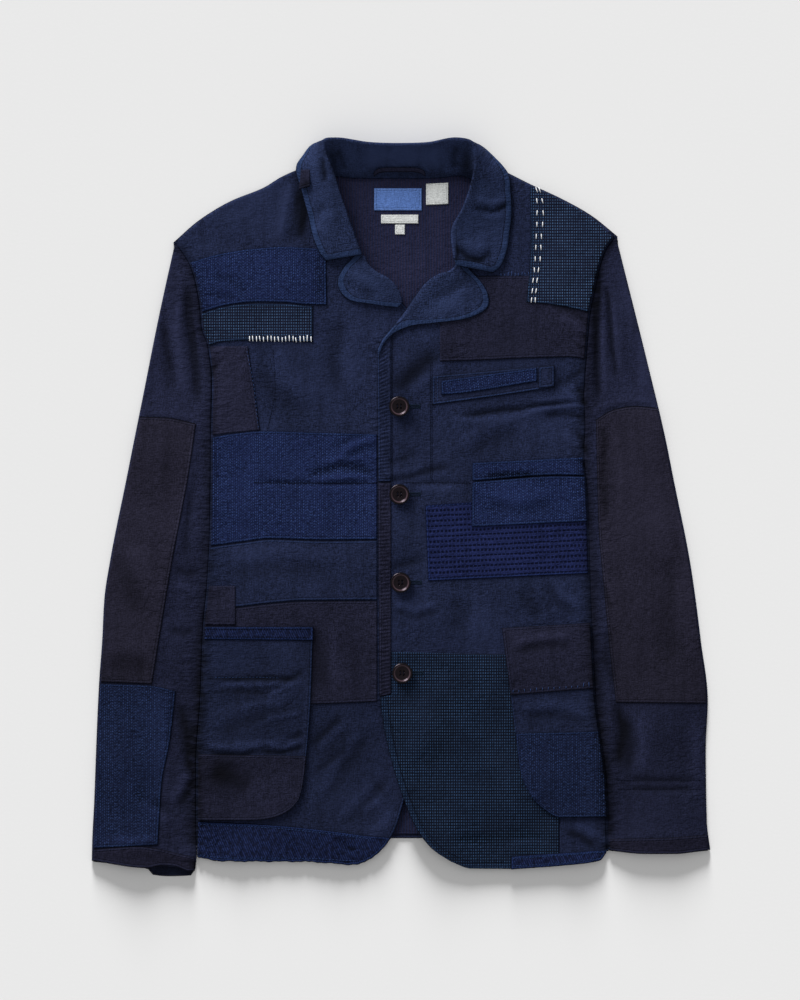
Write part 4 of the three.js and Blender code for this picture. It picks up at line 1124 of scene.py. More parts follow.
def make_fronts():
    cloth("front_right", NAVY_LOOK, ["back_lining"], RIGHT_HEM, RIGHT_SHOULDER, RIGHT_SIDE, RIGHT_EDGE,
          layer=body_layer, thickness=PANEL, step=2.6, folds={"left": ON_BACK, "top": ON_TABLE})
    cloth("front_left", NAVY_LOOK, ["back_lining", "front_right"], LEFT_HEM, LEFT_SHOULDER, LEFT_EDGE,
          LEFT_SIDE, layer=left_front_layer, thickness=PANEL, step=2.6,
          folds={"right": ON_BACK, "top": ON_TABLE})


def make_sleeves():
    inner = np.vstack([(-206, -362), stretch(RIGHT_SIDE, -349, 262, -SIDE_GAP), (-227, 266.5)])
    outer = np.vstack([stretch(RIGHT_SLEEVE_FOLD, -353, 262), (-228, 265.2)])
    cloth("sleeve_right_upper", SLEEVE_LOOK, ["sleeve_right_under"],
          [(-309.5, -353), (-254, -357), (-206, -362)], [(-228, 265.2), (-227, 266.5)], outer, inner,
          layer=right_sleeve_layer, thickness=PANEL, step=2.4, folds={"left": ON_TABLE, "right": ON_BACK},
          grain=-8)
    inner = np.vstack([(207.6, -342), stretch(LEFT_SIDE, -335, 268, SIDE_GAP), (216, 272.4)])
    outer = np.vstack([stretch(LEFT_SLEEVE_FOLD, -342, 268), (217, 271)])
    cloth("sleeve_left_upper", SLEEVE_LOOK, ["sleeve_left_under"],
          [(207.6, -342), (245, -345), (274, -345), (309.5, -342)], [(216, 272.4), (217, 271)], inner, outer,
          layer=left_sleeve_layer, thickness=PANEL, step=2.4, folds={"left": ON_BACK, "right": ON_TABLE},
          grain=8)


def patches_on(panel, layer, bare_sides=()):
    """A cutter for the pieces that are sewn on one panel and follow its layer."""

    def patch(node, look, bottom, top, rests_on=panel, lift=ON_PANEL, bare=bare_sides, **more):
        cloth(node, look, [rests_on], bottom, top, layer=layer, lift=lift, bare=bare, **more)

    return patch


def make_sleeve_pieces():
    right = patches_on("sleeve_right_upper", right_sleeve_layer)
    left = patches_on("sleeve_left_upper", left_sleeve_layer)
    right("sleeve_right_elbow", ELBOW_LOOK, [(-300.3, -174), (-249, -176)],
          [(-261.3, 91), (-235, 90), (-205, 84)], left=stretch(RIGHT_SLEEVE_FOLD, -174, 91, FOLD),
          right=[(-249, -176), (-237, -102), (-229, -55), (-219, -2), (-213, 30), (-205, 84)],
          bare=("left",))
    right("sleeve_right_lower", DEEP_HERRINGBONE_LOOK, [(-306.3, -340.5), (-243, -337)],
          [(-300.3, -175.5), (-249, -177.5), (-225, -183)],
          left=stretch(RIGHT_SLEEVE_FOLD, -340.5, -175.5, FOLD),
          right=[(-243, -337), (-239, -275), (-231, -234), (-225, -183)], bare=("left",))
    right("cuff_right", (CUFF, "brown_navy"),
          [(-308, -353), (-254, -360), (-239, -357.5), (-226, -358.5), (-211, -363.5), (-206.3, -363)],
          [(-307, -341.5), (-262, -338.5), (-240, -341.5), (-218, -347), (-206.5, -349.5)],
          bare=("left", "right"), step=1.6)
    left("sleeve_left_elbow", ELBOW_LOOK, [(215, -194.5), (304.3, -195.5)],
         [(195, 88), (214, 98.5), (234, 101.5), (255.3, 99.5)],
         left=[(215, -194.5), (209.5, -147), (203.5, -86), (197.5, -14), (195, 88)],
         right=stretch(LEFT_SLEEVE_FOLD, -195.5, 99.5, -FOLD), bare=("right",))
    left("cuff_left", (CUFF, "brown_navy"),
         [(209.4, -343), (245, -346), (273, -346), (301, -343), (307.8, -342)],
         [(209.4, -331), (259, -330), (306, -327)], bare=("left", "right"), step=1.6)


# ---------------------------------------------------------------- right front


def make_right_front_patches():
    patch = patches_on("front_right", body_layer, ("left", "right"))
    panel, under = "front_right_brown_panel", -24
    patch("front_right_shoulder_patch", HERRINGBONE_LOOK,
          [(-198.6, 196), (-170, 203.5), (-142, 206), (-116, 205.5), (-97, 203.5), (-74, 203)],
          [(-207.6, 246), (-178, 254.5), (-147, 259.5), (-117, 261.5), (-75, 259)],
          left=stretch(RIGHT_SIDE, 196, 246, FOLD), bare=("left",))
    patch("front_right_dotted_patch", DOTTED_LOOK, [(-190.5, 163), (-176, 166.5), (-153, 167.5), (-88, 166)],
          [(-198.2, 195), (-170, 202.5), (-142, 205), (-116, 204.5), (-97, 202.5), (-88, 202)],
          left=stretch(RIGHT_SIDE, 163, 195, FOLD), bare=("left",))
    patch("front_right_side_patch", BROWN_LOOK, [(-188, 73), (-166, 75.5), (-141, 78)],
          [(-190.6, 161.5), (-153, 162)], left=stretch(RIGHT_SIDE, 73, 161.5, FOLD),
          bare=("left", "top", "bottom"))
    patch("front_right_chest_patch", HERRINGBONE_LOOK,
          [(-190, -38), (-157, -33.5), (-131, -30.5), (-77, -32), (under, -31.5)],
          [(-188.3, 71), (-167, 74.5), (-139, 77), (-77, 75.5), (under, 74)],
          left=stretch(RIGHT_SIDE, -38, 71, FOLD), step=2.2)
    patch("front_right_middle_band", NAVY_LOOK,
          [(-194.5, -101), (-165, -99), (-131, -95), (-96, -92.5), (under, -92)],
          [(-190.5, -39), (-157, -34.5), (-131, -31.5), (-77, -33), (under, -32.5)],
          left=stretch(RIGHT_SIDE, -101, -39, FOLD))
    patch(panel, BROWN_LOOK, [(-199.5, -197), (-87, -196), (under, -193.5)],
          [(-195, -102), (-165, -100), (-131, -96), (-96, -93.5), (under, -93)],
          left=stretch(RIGHT_SIDE, -197, -102, FOLD))
    patch("front_right_small_patch", BROWN_LOOK, [(-195.5, -117), (-165.5, -117)],
          [(-192, -78), (-165.5, -78)], panel, ON_PATCH, bare=("left", "top", "right"), step=1.8)
    hem = curve([(-202.8, -350), (-177, -353.5), (-97, -354), (-45, -357), (-31, -351), (-20, -343),
                 (-10, -330)])
    run = lengths(hem)  # its frayed edge: a short uneven wave and a longer one
    hem[:, 1] += 0.3 * np.sin(run / 1.5 + 1.4 * np.sin(run / 9.0)) + 0.35 * np.sin(run / 4.1)
    patch("front_right_hem_band", HEM_LOOK, hem,
          [(-203, -313.5), (-168, -315), (-127, -317), (-76, -322), (-29, -328), (-10, -329)],
          bare=("left",), step=1.6, ripple=hem_ripple)
    pocket_bottom = [(-203, -312.5), (-150, -312.5), (-131, -310.5), (-118, -306), (-109, -300), (-102, -291)]
    pocket_top = [(-196, -118.5), (-87.5, -118.5)]
    patch("pocket_right_body", NAVY_LOOK, pocket_bottom, pocket_top, panel, ON_PATCH,
          left=stretch(RIGHT_SIDE, -312.5, -118.5, FOLD),
          right=[(-102, -291), (-98, -276), (-94.5, -248), (-90, -192), (-87.5, -118.5)], thickness=POCKET,
          bare=("left",))
    patch("pocket_right_band", HEM_LOOK, [(-196.6, -131.5), (-87.5, -132.5)], pocket_top, "pocket_right_body",
          ON_POCKET, bare=("left",), step=1.6)
    patch("pocket_right_lower", BROWN_LOOK, pocket_bottom, [(-202.5, -246), (-150, -247), (-94.5, -248)],
          "pocket_right_body", ON_POCKET, right=[(-102, -291), (-98, -276), (-94.5, -248)], bare=("left",))


def hem_ripple(across, up, width, height):
    """Gathered hem: waves of about 8 mm along the hem, highest at its lower edge, and sharper slanting
    creases about 23 mm apart."""
    wobble = 2.2 * np.sin(across / 17.0) + 1.3 * np.sin(up / 5.0 + across / 31.0)
    share = 0.35 + 0.65 * smooth(1 - up / max(height, 1))
    slant = np.sin(2 * np.pi * (across + 0.55 * up + 3 * np.sin(across / 23)) / 23.0)
    return 0.3 * share * np.sin(2 * np.pi * (across + wobble) / 7.9) - 0.7 * np.clip(slant, 0, 1) ** 6


# ---------------------------------------------------------------- left front


def make_left_front_patches():
    patch = patches_on("front_left", left_front_layer)
    panel, pocket = "front_left_dotted_panel", "pocket_left_body"
    patch("front_left_shoulder_patch", DOTTED_LOOK, [(125, 206), (156, 202.5), (186.4, 196)],
          [(129, 322.4), (159, 308.4), (189, 291.3), (211.6, 271)], "front_left_chest_patch", ON_PATCH,
          left=[(125, 206), (128, 233), (130, 271), (129, 322.4)],
          right=np.vstack([stretch(LEFT_SIDE, 196, 266, -FOLD - 0.3), (211.6, 271)]), bare=("right", "top"))
    patch("front_left_chest_patch", BROWN_LOOK, [(39, 146.5), (83, 148), (127, 150), (170, 151), (183, 149)],
          [(39, 231), (80, 232), (124, 232), (194, 230)], right=stretch(LEFT_SIDE, 149, 230, -FOLD),
          bare=("right", "left"))
    patch("welt_pocket", NAVY_LOOK, [(31, 103), (94, 111.5), (153.5, 120.5)], [(31, 132), (153.5, 143)],
          step=1.8)
    patch("welt_patch", HERRINGBONE_LOOK, [(40, 113), (54, 114), (136, 126.5)], [(40, 127.5), (136, 140.5)],
          "welt_pocket", ON_PATCH, step=1.6, grain=7.6)
    patch("welt_tab", NAVY_LOOK, [(137.5, 119.5), (153.5, 121.5)], [(137.5, 141), (153.5, 142.5)],
          "welt_pocket", ON_PATCH, step=1.6, grain=7.6)
    patch("front_left_pocket_flap", HERRINGBONE_LOOK, [(71, 27), (159, 33), (183, 32.5)],
          [(71, 45.5), (181.7, 51)], "front_left", ON_PATCH, bare=("right",), step=1.8)
    patch("front_left_pocket_patch", HERRINGBONE_LOOK, [(70.5, -19), (186, -13.5)],
          [(71, 26), (159, 32), (184, 31.5)], "front_left_sashiko_patch", ON_PATCH, bare=("right",),
          grain=2.5)
    patch("front_left_sashiko_patch", (SASHIKO, "sashiko_blue"), [(27, -73), (187, -65.5)],
          [(24, 3), (70, 6), (185, 11)], bare=("right",), step=1.6, ripple=quilted, grain=2.7)
    cutaway = curve([(50, -353.6), (32, -341.6), (18, -324.6), (6, -300), (-9, -255), (-17.4, -218),
                     (-21.4, -189.5)])
    patch(panel, (DARK_DOTTED, "dotted_navy"), [(50, -353.6), (70, -360.6), (113, -361), (158, -357.8)],
          [(-9.5, -144), (100, -146), (158, -146)], left=np.vstack([cutaway, (-9.5, -186.5), (-9.5, -144)]),
          bare=("right", "top"), step=2.2)
    patch("front_left_hem_piece", NAVY_LOOK, [(159, -357.4), (199, -352.5), (205.3, -342.5)],
          [(159, -300), (203.8, -300)], bare=("right", "left"), step=1.8)
    patch("front_left_hem_band", HEM_LOOK, [(110, -361.5), (163, -357.6), (199, -352.6), (205.3, -345)],
          [(110, -348), (158, -345), (205.3, -341.6)], panel, ON_PATCH, bare=("right",), step=1.3)
    patch("edge_strip_upper", NAVY_LOOK, [(-23, 26.5), (-10, 26.5)], [(-19, 169), (-10, 178.5)],
          left=np.array([(-23, 26.5), (-24, 157), (-19, 169)]), step=1.0, ripple=strip_ripple,
          bare=("right",))
    patch("edge_strip_lower", BROWN_LOOK, [(-21.6, -188.5), (-10, -185.8)], [(-23, 25.5), (-10, 25.5)],
          step=1.0, ripple=strip_ripple, bare=("right",))
    pocket_bottom = [(125, -279), (132, -291), (144, -302), (158, -309.5), (204.8, -309)]
    pocket_top = [(101, -120), (189, -115)]
    patch(pocket, NAVY_LOOK, pocket_bottom, pocket_top, panel, ON_PATCH,
          left=[(125, -279), (120, -267), (114, -224), (109.5, -187), (101, -120)],
          right=stretch(LEFT_SIDE, -309, -115, -FOLD), thickness=POCKET, bare=("right",))
    patch("pocket_left_top", BROWN_LOOK, [(109.5, -187), (192.3, -180.5)], pocket_top, pocket, ON_POCKET,
          bare=("right",), step=2.0)
    patch("pocket_left_lower", DEEP_HERRINGBONE_LOOK, pocket_bottom, [(114, -225), (197, -223)], pocket,
          ON_POCKET, left=[(125, -279), (120, -267), (114, -225)],
          right=stretch(LEFT_SIDE, -309, -223, -FOLD), bare=("right",))


def strip_ripple(across, up, width, height):
    """Gathered binding: ridges across the strip every 3.6 mm, uneven along it."""
    wobble = 1.1 * np.sin(up / 13.0) + 0.6 * np.sin(up / 4.7 + 1.0)
    middle = smooth(np.minimum(across, width - across) / 3.5)
    return 0.45 * middle * np.sin(2 * np.pi * (up + wobble) / 3.6)


def quilted(across, up, width, height):
    """Quilting rows: a shallow furrow along every row of stitches, 5.2 mm apart."""
    inside = smooth(np.minimum(up, height - up) / 3)
    return 0.12 * inside * np.cos(2 * np.pi * up / 5.2)


# ---------------------------------------------------------------- collar and lapels


def resampled(grid, rows, columns):
    """A finer grid of points: a smooth line through the points down every column, then along every row."""

    def down(block, count):
        run = np.cumsum(np.linalg.norm(np.diff(block, axis=0), axis=-1).mean(axis=1))
        run = np.concatenate([[0], run])
        flat = hermite(run, block.reshape(len(block), -1), np.linspace(0, run[-1], count), False)
        return flat.reshape((count,) + block.shape[1:])

    return np.swapaxes(down(np.swapaxes(down(grid, rows), 0, 1), columns), 0, 1)


def shell(node, grid, thickness, cut_rows, cut_columns, reversed_faces):
    """Collar cloth that turns over an edge: the middle surface moved half the thickness along its normal
    to both sides, less near a cut edge so that the two sides meet there in a round rim."""
    normal = np.cross(np.gradient(grid, axis=1), np.gradient(grid, axis=0))
    normal /= np.maximum(np.linalg.norm(normal, axis=-1, keepdims=True), 1e-9)
    down, over = np.zeros(grid.shape[:2]), np.zeros(grid.shape[:2])
    down[1:] = np.cumsum(np.linalg.norm(np.diff(grid, axis=0), axis=-1), axis=0)
    over[:, 1:] = np.cumsum(np.linalg.norm(np.diff(grid, axis=1), axis=-1), axis=1)
    away = {
        "first_row": down, "last_row": down[-1:] - down,
        "first_column": over, "last_column": over[:, -1:] - over,
    }

    def nearest(names):
        return np.minimum.reduce([away[side] for side in names] + [np.full_like(down, FAR)])

    share = np.clip(nearest(away) / (thickness / 2), 0, 1)
    half = thickness / 2 * np.sqrt(np.clip(1 - (1 - share) ** 2, 0, 1))
    upper, lower = grid + normal * half[..., None], grid - normal * half[..., None]
    row_side, column_side = nearest(cut_rows), nearest(cut_columns)
    x, y, z = np.moveaxis(grid, -1, 0)
    wear_and_shade = wear_and_shade_of(x, y, COLLAR_CREASES + LAPEL_CREASES)
    # painted shade in the collar's hollows, with some lighter spots
    wear_and_shade[..., 0] += spots(x, y, COLLAR_SHADE_AND_LIGHTER_SPOTS)
    threads = np.dstack([x + 0.4 * z + 300, y + 0.6 * z + 300])
    fields = [threads, np.dstack([column_side, row_side, np.minimum(row_side, column_side)]), wear_and_shade]
    if reversed_faces:
        upper, lower, *fields = (field[:, ::-1] for field in (lower, upper, *fields))
    made = wall_object(node + "_cloth", upper, lower, COLLAR, *fields)
    size = down[-1].mean(), over[:, -1].mean()
    finish_piece(made, node, max(size), min(size), surface_area(grid))


def collar_stations():
    """Outer edge of the fall, crest and neck seam at stations round the neck, from right to left. The
    edge and the seam rest on the fronts, the seam sunk a little, and lie near the table at the back."""

    def on(layer, x, y, extra=0.0):
        return x, y, at_point(layer, x, y) + ON_PATCH + GAP + COLLAR_CLOTH / 2 + extra

    right, left = functools.partial(on, body_layer), functools.partial(on, left_front_layer)

    return np.array([
        [right(-75, 247), (-39.5, 252.5, 14), right(-43, 252.5, -0.6)],
        [right(-81, 254), (-43, 262, 15.5), right(-47, 262, -0.6)],
        [right(-88, 270), (-48, 276, 17.5), right(-53, 276, -0.6)],
        [right(-93, 292), (-55.5, 297, 20), right(-61, 296, -0.6)],
        [right(-99, 315), (-62.5, 317, 22.5), right(-68, 314, -0.6)],
        [(-105, 341, 6.5), (-69, 338, 25), (-71, 328, 6.2)],
        [(-98, 353, 3.6), (-75, 352, 26.5), (-66, 331, 5.4)],
        [(-88, 363.5, 2.2), (-77, 365.5, 27), (-60, 331, 4.6)],
        [(-70, 367.2, 1.6), (-66, 367.9, 26.5), (-52, 330, 4.6)],
        [(-34, 364.4, 1.4), (-32, 363.4, 26), (-28, 329.5, 4.6)],
        [(0, 363.4, 1.4), (0, 362.4, 26), (0, 329.5, 4.6)],
        [(30, 364.6, 1.4), (28, 363.6, 26), (26, 329.5, 4.6)],
        [(58, 367.4, 1.6), (55, 368, 26.5), (45, 330.5, 4.6)],
        [(78, 363, 2.2), (71, 364, 27), (54, 332, 4.8)],
        [(94, 350, 3.6), (75, 351, 26.5), (64, 331, 5.6)],
        [(107, 335, 6.5), (73, 335, 25), (76, 325, 6.4)],
        [left(110, 315), (68.5, 317, 23), left(74, 313, -0.6)],
        [left(111, 295), (61.5, 298, 21), left(67, 296, -0.6)],
        [left(109, 276), (51.5, 279, 19), left(58, 278, -0.6)],
        [left(106, 257), (52, 258, 17), left(58, 257, -0.6)],
        [left(100, 242), (54.5, 246.5, 16), left(59.5, 247, -0.6)],
        [left(92, 235), (56.5, 241.5, 15.5), left(60.5, 242, -0.6)],
    ])


# Spots on the collar and lapels: below 0 painted shade in the back corners of the neck, along the neck seam,
# inside the left roll and in two creases; above 0 lighter spots, one a thin line along the left crest.
COLLAR_SHADE_AND_LIGHTER_SPOTS = [
    (0, 352, 46, 12, 1.3),
    (-96, 300, 8, 42, 0.4),
    (-81, 250, 8, 30, 0.3),
    (-30, 222, 36, 26, 0.4),
    (90, 285, 26, 44, 0.45),
    (51.5, 257, 1.7, 17, 1.6),
    (55.5, 256, 2.2, 16, -1.0),
    (90, 302, 20, 3.5, -0.5),
    (74, 248, 18, 4, -0.4),
    (66, 346, 9, 18, -1.0),
    (-70, 345, 6, 16, -0.9),
    (0, 334, 60, 3, -0.5),
]
COLLAR_CREASES = [
    ([(-44, 362), (-40, 350), (-42, 336)], 4.0, 0.45),
    ([(-30, 360), (-27, 350), (-30, 338)], 3.6, 0.4, "ridge"),
    ([(-6, 361), (-10, 350), (-8, 340)], 5.0, 0.4, "fold"),
    ([(14, 360), (18, 350), (16, 338)], 3.6, 0.4),
    ([(36, 361), (33, 350), (36, 338)], 4.0, 0.45, "ridge"),
    ([(70, 300), (90, 296), (110, 304)], 2.8, 1.3),
    ([(74, 309), (92, 303), (106, 311)], 3.6, 0.8, "ridge"),
    ([(80, 292), (92, 288), (104, 292)], 3.0, 0.5, "ridge"),
    ([(54, 262), (66, 251), (78, 247), (94, 258)], 3.2, 1.2),
    ([(60, 268), (74, 258), (86, 262)], 4.5, 0.6, "ridge"),
    ([(-70, 300), (-82, 290), (-90, 276)], 8.0, 0.5, "fold"),
    ([(-76, 352), (-74, 336), (-72, 322)], 4.0, 0.8, "fold"),
    ([(-64, 360), (-58, 348), (-56, 336)], 4.0, 0.8),
    ([(56, 364), (52, 350), (54, 338)], 4.5, 1.0),
]


def make_collar():
    """One strip of cloth round the neck. Its section climbs from the outer edge in a slight bulge, turns
    over at the crest and comes down as the stand to the neck seam."""
    edge, crest, seam = np.swapaxes(collar_stations(), 0, 1)
    shoulder, lowest = crest - (0, 0, 1.5), 1.3
    bulges = ((0, 0), (0.3, 1.2), (0.62, 1.9), (0.86, 1.6))
    fall = [edge + (shoulder - edge) * share + (0, 0, bulge) for share, bulge in bulges]
    stand = [crest + (seam - crest) * share for share in (0, 0.16, 0.55, 1)]
    grid = resampled(np.stack(fall + stand, axis=1), 260, 46)
    grid[..., 2] += 0.7 * creased(grid[..., 0], grid[..., 1], COLLAR_CREASES)
    grid[..., 2] = np.maximum(grid[..., 2], lowest)
    shell("collar", grid, COLLAR_CLOTH,
          ("first_row", "last_row"), ("first_column",), False)


def lapel(node, layer, outline, roll, rise, behind):
    """A lapel lies on its front along the outer edge, rises to the roll line and turns down behind it."""
    outline, roll = np.array(outline, float), np.array(roll, float)
    resting, swell, turn_down = ON_PATCH + PATCH, 0.35, 1.6
    crest = np.column_stack([roll, layer(roll[:, 0], roll[:, 1]) + resting + np.array(rise)])
    rim = np.column_stack([outline, layer(outline[:, 0], outline[:, 1]) + resting])
    rows = [rim + (crest - rim) * share + (0, 0, math.sin(math.pi * share) * swell)
            for share in (0, 0.25, 0.5, 0.75, 1)]
    count = len(roll)
    ends = np.sin(np.pi * (np.arange(count) + 0.6) / (count + 0.2))
    rows.append(crest + np.column_stack([behind[0] * ends, behind[1] * ends, np.full(count, -turn_down)]))
    grid = resampled(np.stack(rows), 40, 120)
    grid[..., 2] += 0.5 * creased(grid[..., 0], grid[..., 1], LAPEL_CREASES)
    shell(node, grid, PANEL, ("first_row",), (), behind[0] < 0)


LAPEL_CREASES = [
    ([(-54, 232), (-40, 224), (-20, 214)], 7.0, 0.5, "fold"),
    ([(70, 226), (50, 212), (30, 204)], 8.0, 0.6, "fold"),
    ([(60, 200), (40, 196), (20, 192)], 5.0, 0.4, "ridge"),
]


def make_lapels():
    lapel("lapel_right", body_layer,
          [(-45, 255), (-50, 248.5), (-57.5, 240), (-63, 229), (-63, 221), (-58.5, 213), (-50, 207),
           (-35, 204.5), (-14, 201.5), (-3, 200.5)],
          [(-37, 252), (-35, 246), (-32, 241), (-28, 237), (-23, 233.5), (-17, 230.5), (-11, 226.5),
           (-6, 221), (-1, 212), (1, 205)],
          [0, 0.5, 0.9, 1.2, 1.5, 1.7, 1.7, 1.4, 0.9, 0.4], (1.4, 1.4))
    lapel("lapel_left", left_front_layer,
          [(65, 243.5), (71, 236), (79.5, 227), (86, 217), (88.5, 207), (86, 199.5), (74, 192), (60, 188),
           (36, 185), (14, 182.5), (2, 179), (-9, 173), (-18, 163), (-22.5, 152)],
          [(56, 243), (49, 236.5), (41, 234), (34, 230.5), (29, 226.5), (24, 221.5), (19, 214.5),
           (14.5, 207.5), (9.5, 200.5), (5.5, 195.5), (0, 189), (-9, 178), (-18, 166.5), (-22.8, 157)],
          [0, 0.6, 1.1, 1.5, 1.7, 1.7, 1.6, 1.3, 0.9, 0.7, 0.6, 0.4, 0.2, 0.1], (-1.4, 1.4))


def make_neck_pieces():
    on_lining = BACK + GAP + LINING + GAP

    def label(node, look, low, high, lean=0.0):
        (x0, y0), (x1, y1) = low, high
        cloth(node, look, ["back_lining"], [(x0, y0), (x1, y0 + lean)], [(x0, y1), (x1, y1 + lean)],
              lift=on_lining, step=2.0)

    blue, white = (LABEL_BLUE, "label_blue"), (LABEL_WHITE, "label_white")
    label("label_main", blue, (-27, 297.5), (21, 320))
    label("label_strip", white, (-20, 284.5), (17.5, 293.5))
    label("label_tab", white, (-6, 273.5), (4, 283.5))
    label("label_square", white, (25, 303), (47.5, 324.5), 1.0)

    def stand(x, y):
        """Just above the stand's inner side, which climbs 21.4 mm over 30 mm from the neck seam."""
        return 4.6 + (y - 329.5) * 21.4 / 30 + 2.2

    def fall(x, y):
        """Just above the fall beside the right shoulder, which climbs towards the neck."""
        return 10.6 + (x + 102) * 0.48 + (338 - y) * 0.035

    cloth("hanger_loop", (CUFF, "striped_lining"), ["collar"],
          [(-27.5, 331), (-22, 334.5), (-14, 335.5), (11, 335.5), (19, 334.5), (24.5, 331)],
          [(-27, 336), (-22, 339), (-14, 340), (11, 340), (19, 339), (24, 336)], layer=stand, step=1.5)
    cloth("collar_pieced_end", BROWN_LOOK, ["collar"], [(-102, 318), (-91, 321)], [(-100, 338), (-91, 338)],
          layer=fall, step=1.5, bare=("left", "right", "top"))


# ---------------------------------------------------------------- buttons and threads

BUTTON_RADIUS = 10.2
BUTTON_HEIGHT = 4.2
HOLE_OFFSET = 1.75
HOLE_RADIUS = 0.9
HOLE_RIM = 0.12
HOLE_DEPTH = 1.5
BUTTON_GAP = 0.5
BUTTON_CENTRES = [(-1.8, 101.5), (-1.6, 13.7), (-0.4, -74.5), (1.2, -165)]


def make_buttons():
    """Four-hole buttons: a rim round a dished middle, turned about the axis, with four wells sunk in it.
    A well is the hole's depth times a steep step of the distance from the hole's middle."""
    profile = curve(
        [(0.05, 0.3), (6.6, 0.0), (9.2, 0.9), (BUTTON_RADIUS, 2.8), (10.1, 3.5), (9.7, 3.9),
         (9.1, BUTTON_HEIGHT), (8.6, 4.1), (7.2, 3.1), (6.8, 2.85), (6.2, 2.6), (3.6, 2.2), (0.05, 2.1)],
        spacing=0.24)
    turns = np.linspace(0, 2 * np.pi, 73)[:-1]
    radius, height = profile[:, :1], profile[:, 1:]
    x, y = radius * np.cos(turns), radius * np.sin(turns)
    z = np.repeat(height, len(turns), axis=1)
    upper_side = np.arange(len(profile))[:, None] > np.argmax(profile[:, 0])
    for i, j in ((-1, -1), (1, -1), (-1, 1), (1, 1)):
        away = np.hypot(x - i * HOLE_OFFSET, y - j * HOLE_OFFSET)
        well = smooth((HOLE_RADIUS + HOLE_RIM - away) / (2 * HOLE_RIM))
        z = z - np.where(upper_side, HOLE_DEPTH * well, 0)
    index = np.arange(x.size).reshape(x.shape)
    quads = grid_quads(np.concatenate([index, index[:, :1]], axis=1))[:, ::-1]
    from_axis = np.hypot(x, y).reshape(-1, 1) * (1, 0, 0)
    for number, (cx, cy) in enumerate(BUTTON_CENTRES, 1):
        base = at_point(left_front_layer, cx, cy) + ON_PATCH + BUTTON_GAP
        points = np.stack([x + cx, y + cy, z + base], axis=-1).reshape(-1, 3)
        made = mesh_object(f"button_{number}_horn", points, quads, HORN, fields={"edge": from_axis})
        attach(made, "root")
        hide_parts(f"button_{number}")


def thread_object(name, stitches, radius, surface, look, arch=0.35, sink=0.5):
    """Many stitches in one mesh: each is a four-sided tube from start to end that rises out of the cloth,
    runs over it and dives in again. Its height above the surface is an arch of the share along it."""
    starts, ends = (np.asarray(side, float) for side in stitches)
    material, slot = look
    shares = np.array([0.0, 0.12, 0.5, 0.88, 1.0])
    rise = np.array([-sink, 0.35, 1.0, 0.35, -sink])
    thick = np.array([0.55, 0.9, 1.0, 0.9, 0.55]) * radius
    middle = starts[:, None] + (ends - starts)[:, None] * shares[None, :, None]
    z = surface(middle[..., 0], middle[..., 1]) + arch * rise[None]
    direction = (ends - starts) / np.maximum(np.linalg.norm(ends - starts, axis=1, keepdims=True), 1e-9)
    sideways = np.column_stack([-direction[:, 1], direction[:, 0]])
    angles = np.radians([45, 135, 225, 315])
    out, lift = (thick[None, :, None] * part for part in (np.cos(angles), np.sin(angles)))
    xy = middle[:, :, None, :] + sideways[:, None, None, :] * out[..., None]
    points = np.concatenate([xy, (z[:, :, None] + lift)[..., None]], axis=-1).reshape(-1, 3)
    here = 4 * np.arange(4)[:, None] + np.arange(4)
    beside = 4 * np.arange(4)[:, None] + (np.arange(4) + 1) % 4
    tube = np.stack([here, beside, beside + 4, here + 4], axis=-1).reshape(-1, 4)
    quads = np.concatenate([tube, [[3, 2, 1, 0], [16, 17, 18, 19]]])
    quads = (quads[None] + 20 * np.arange(len(starts))[:, None, None]).reshape(-1, 4)
    made = mesh_object(name, points, quads, material)
    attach(made, "root")


def running(lines, pitch, length):
    """Start and end points of stitches of one length along several lines, one in every pitch."""
    starts, ends = [], []
    for line in map(curve, lines):
        whole = lengths(line)[-1]
        first = np.arange(0, whole - length, pitch)
        starts.append(along(line, first / whole))
        ends.append(along(line, (first + length) / whole))
    return np.concatenate(starts), np.concatenate(ends)


def ticks(line, count, height):
    """Short upright stitches spread evenly along a line, each a little off in height and lean."""
    uneven_height, lean = 0.18, 0.3
    foot = along(curve(line), np.linspace(0, 1, count))
    tall = height * (1 + uneven_height * random.normal(0, 1, count))
    return foot, foot + np.column_stack([random.normal(0, lean, count), tall])


def make_hand_stitches():
    """The white hand stitches on the dotted patches: overcasting along the lower edge of the right one,
    and two columns of running stitches down the left one."""
    look, gauge, arch, half = (WHITE_THREAD, "label_white"), 0.6, 0.8, 2.7
    count = 18
    xs = np.linspace(-151.5, -89.8, count) + random.normal(0, 0.2, count)
    lean = np.where(np.arange(count) % 5 == 3, 0.8, 0.2) + random.normal(0, 0.15, count)
    low = 166.3 + random.normal(0, 0.25, count) - 0.6 * (xs + 120) / 60
    high = low + 5.6 + random.normal(0, 0.5, count)
    overcast = np.column_stack([xs, low]), np.column_stack([xs - lean, high])
    thread_object("overcast_stitches", overcast, gauge, at_height(body_layer, ON_PANEL + PATCH), look, arch)
    rows = np.tile([318, 307, 295, 283.5, 271.5, 260.5, 249, 238, 227.5, 217, 208], 2)
    column = np.array([135.6, 135.9, 136.0, 135.9, 135.2, 134.8, 134.2, 133.4, 132.0, 131.2, 130.4,
                       138.6, 141.4, 142.2, 141.6, 140.4, 139.9, 139.2, 137.4, 136.0, 135.0, 134.2])
    slant = np.array([0.9, 0.3, -0.2, 0.0, -0.1, -0.1, 0.0, 0.2, -0.4, -0.5, -0.4,
                      1.0, 0.7, 0.3, -0.1, 0.2, 0.2, 0.0, -0.4, -0.4, -0.5, -0.1])
    rows_of = np.column_stack([column - slant, rows + half]), np.column_stack([column + slant, rows - half])
    thread_object("shoulder_running_stitches", rows_of, gauge, at_height(left_front_layer, ON_PATCH + PATCH),
                  look, arch)


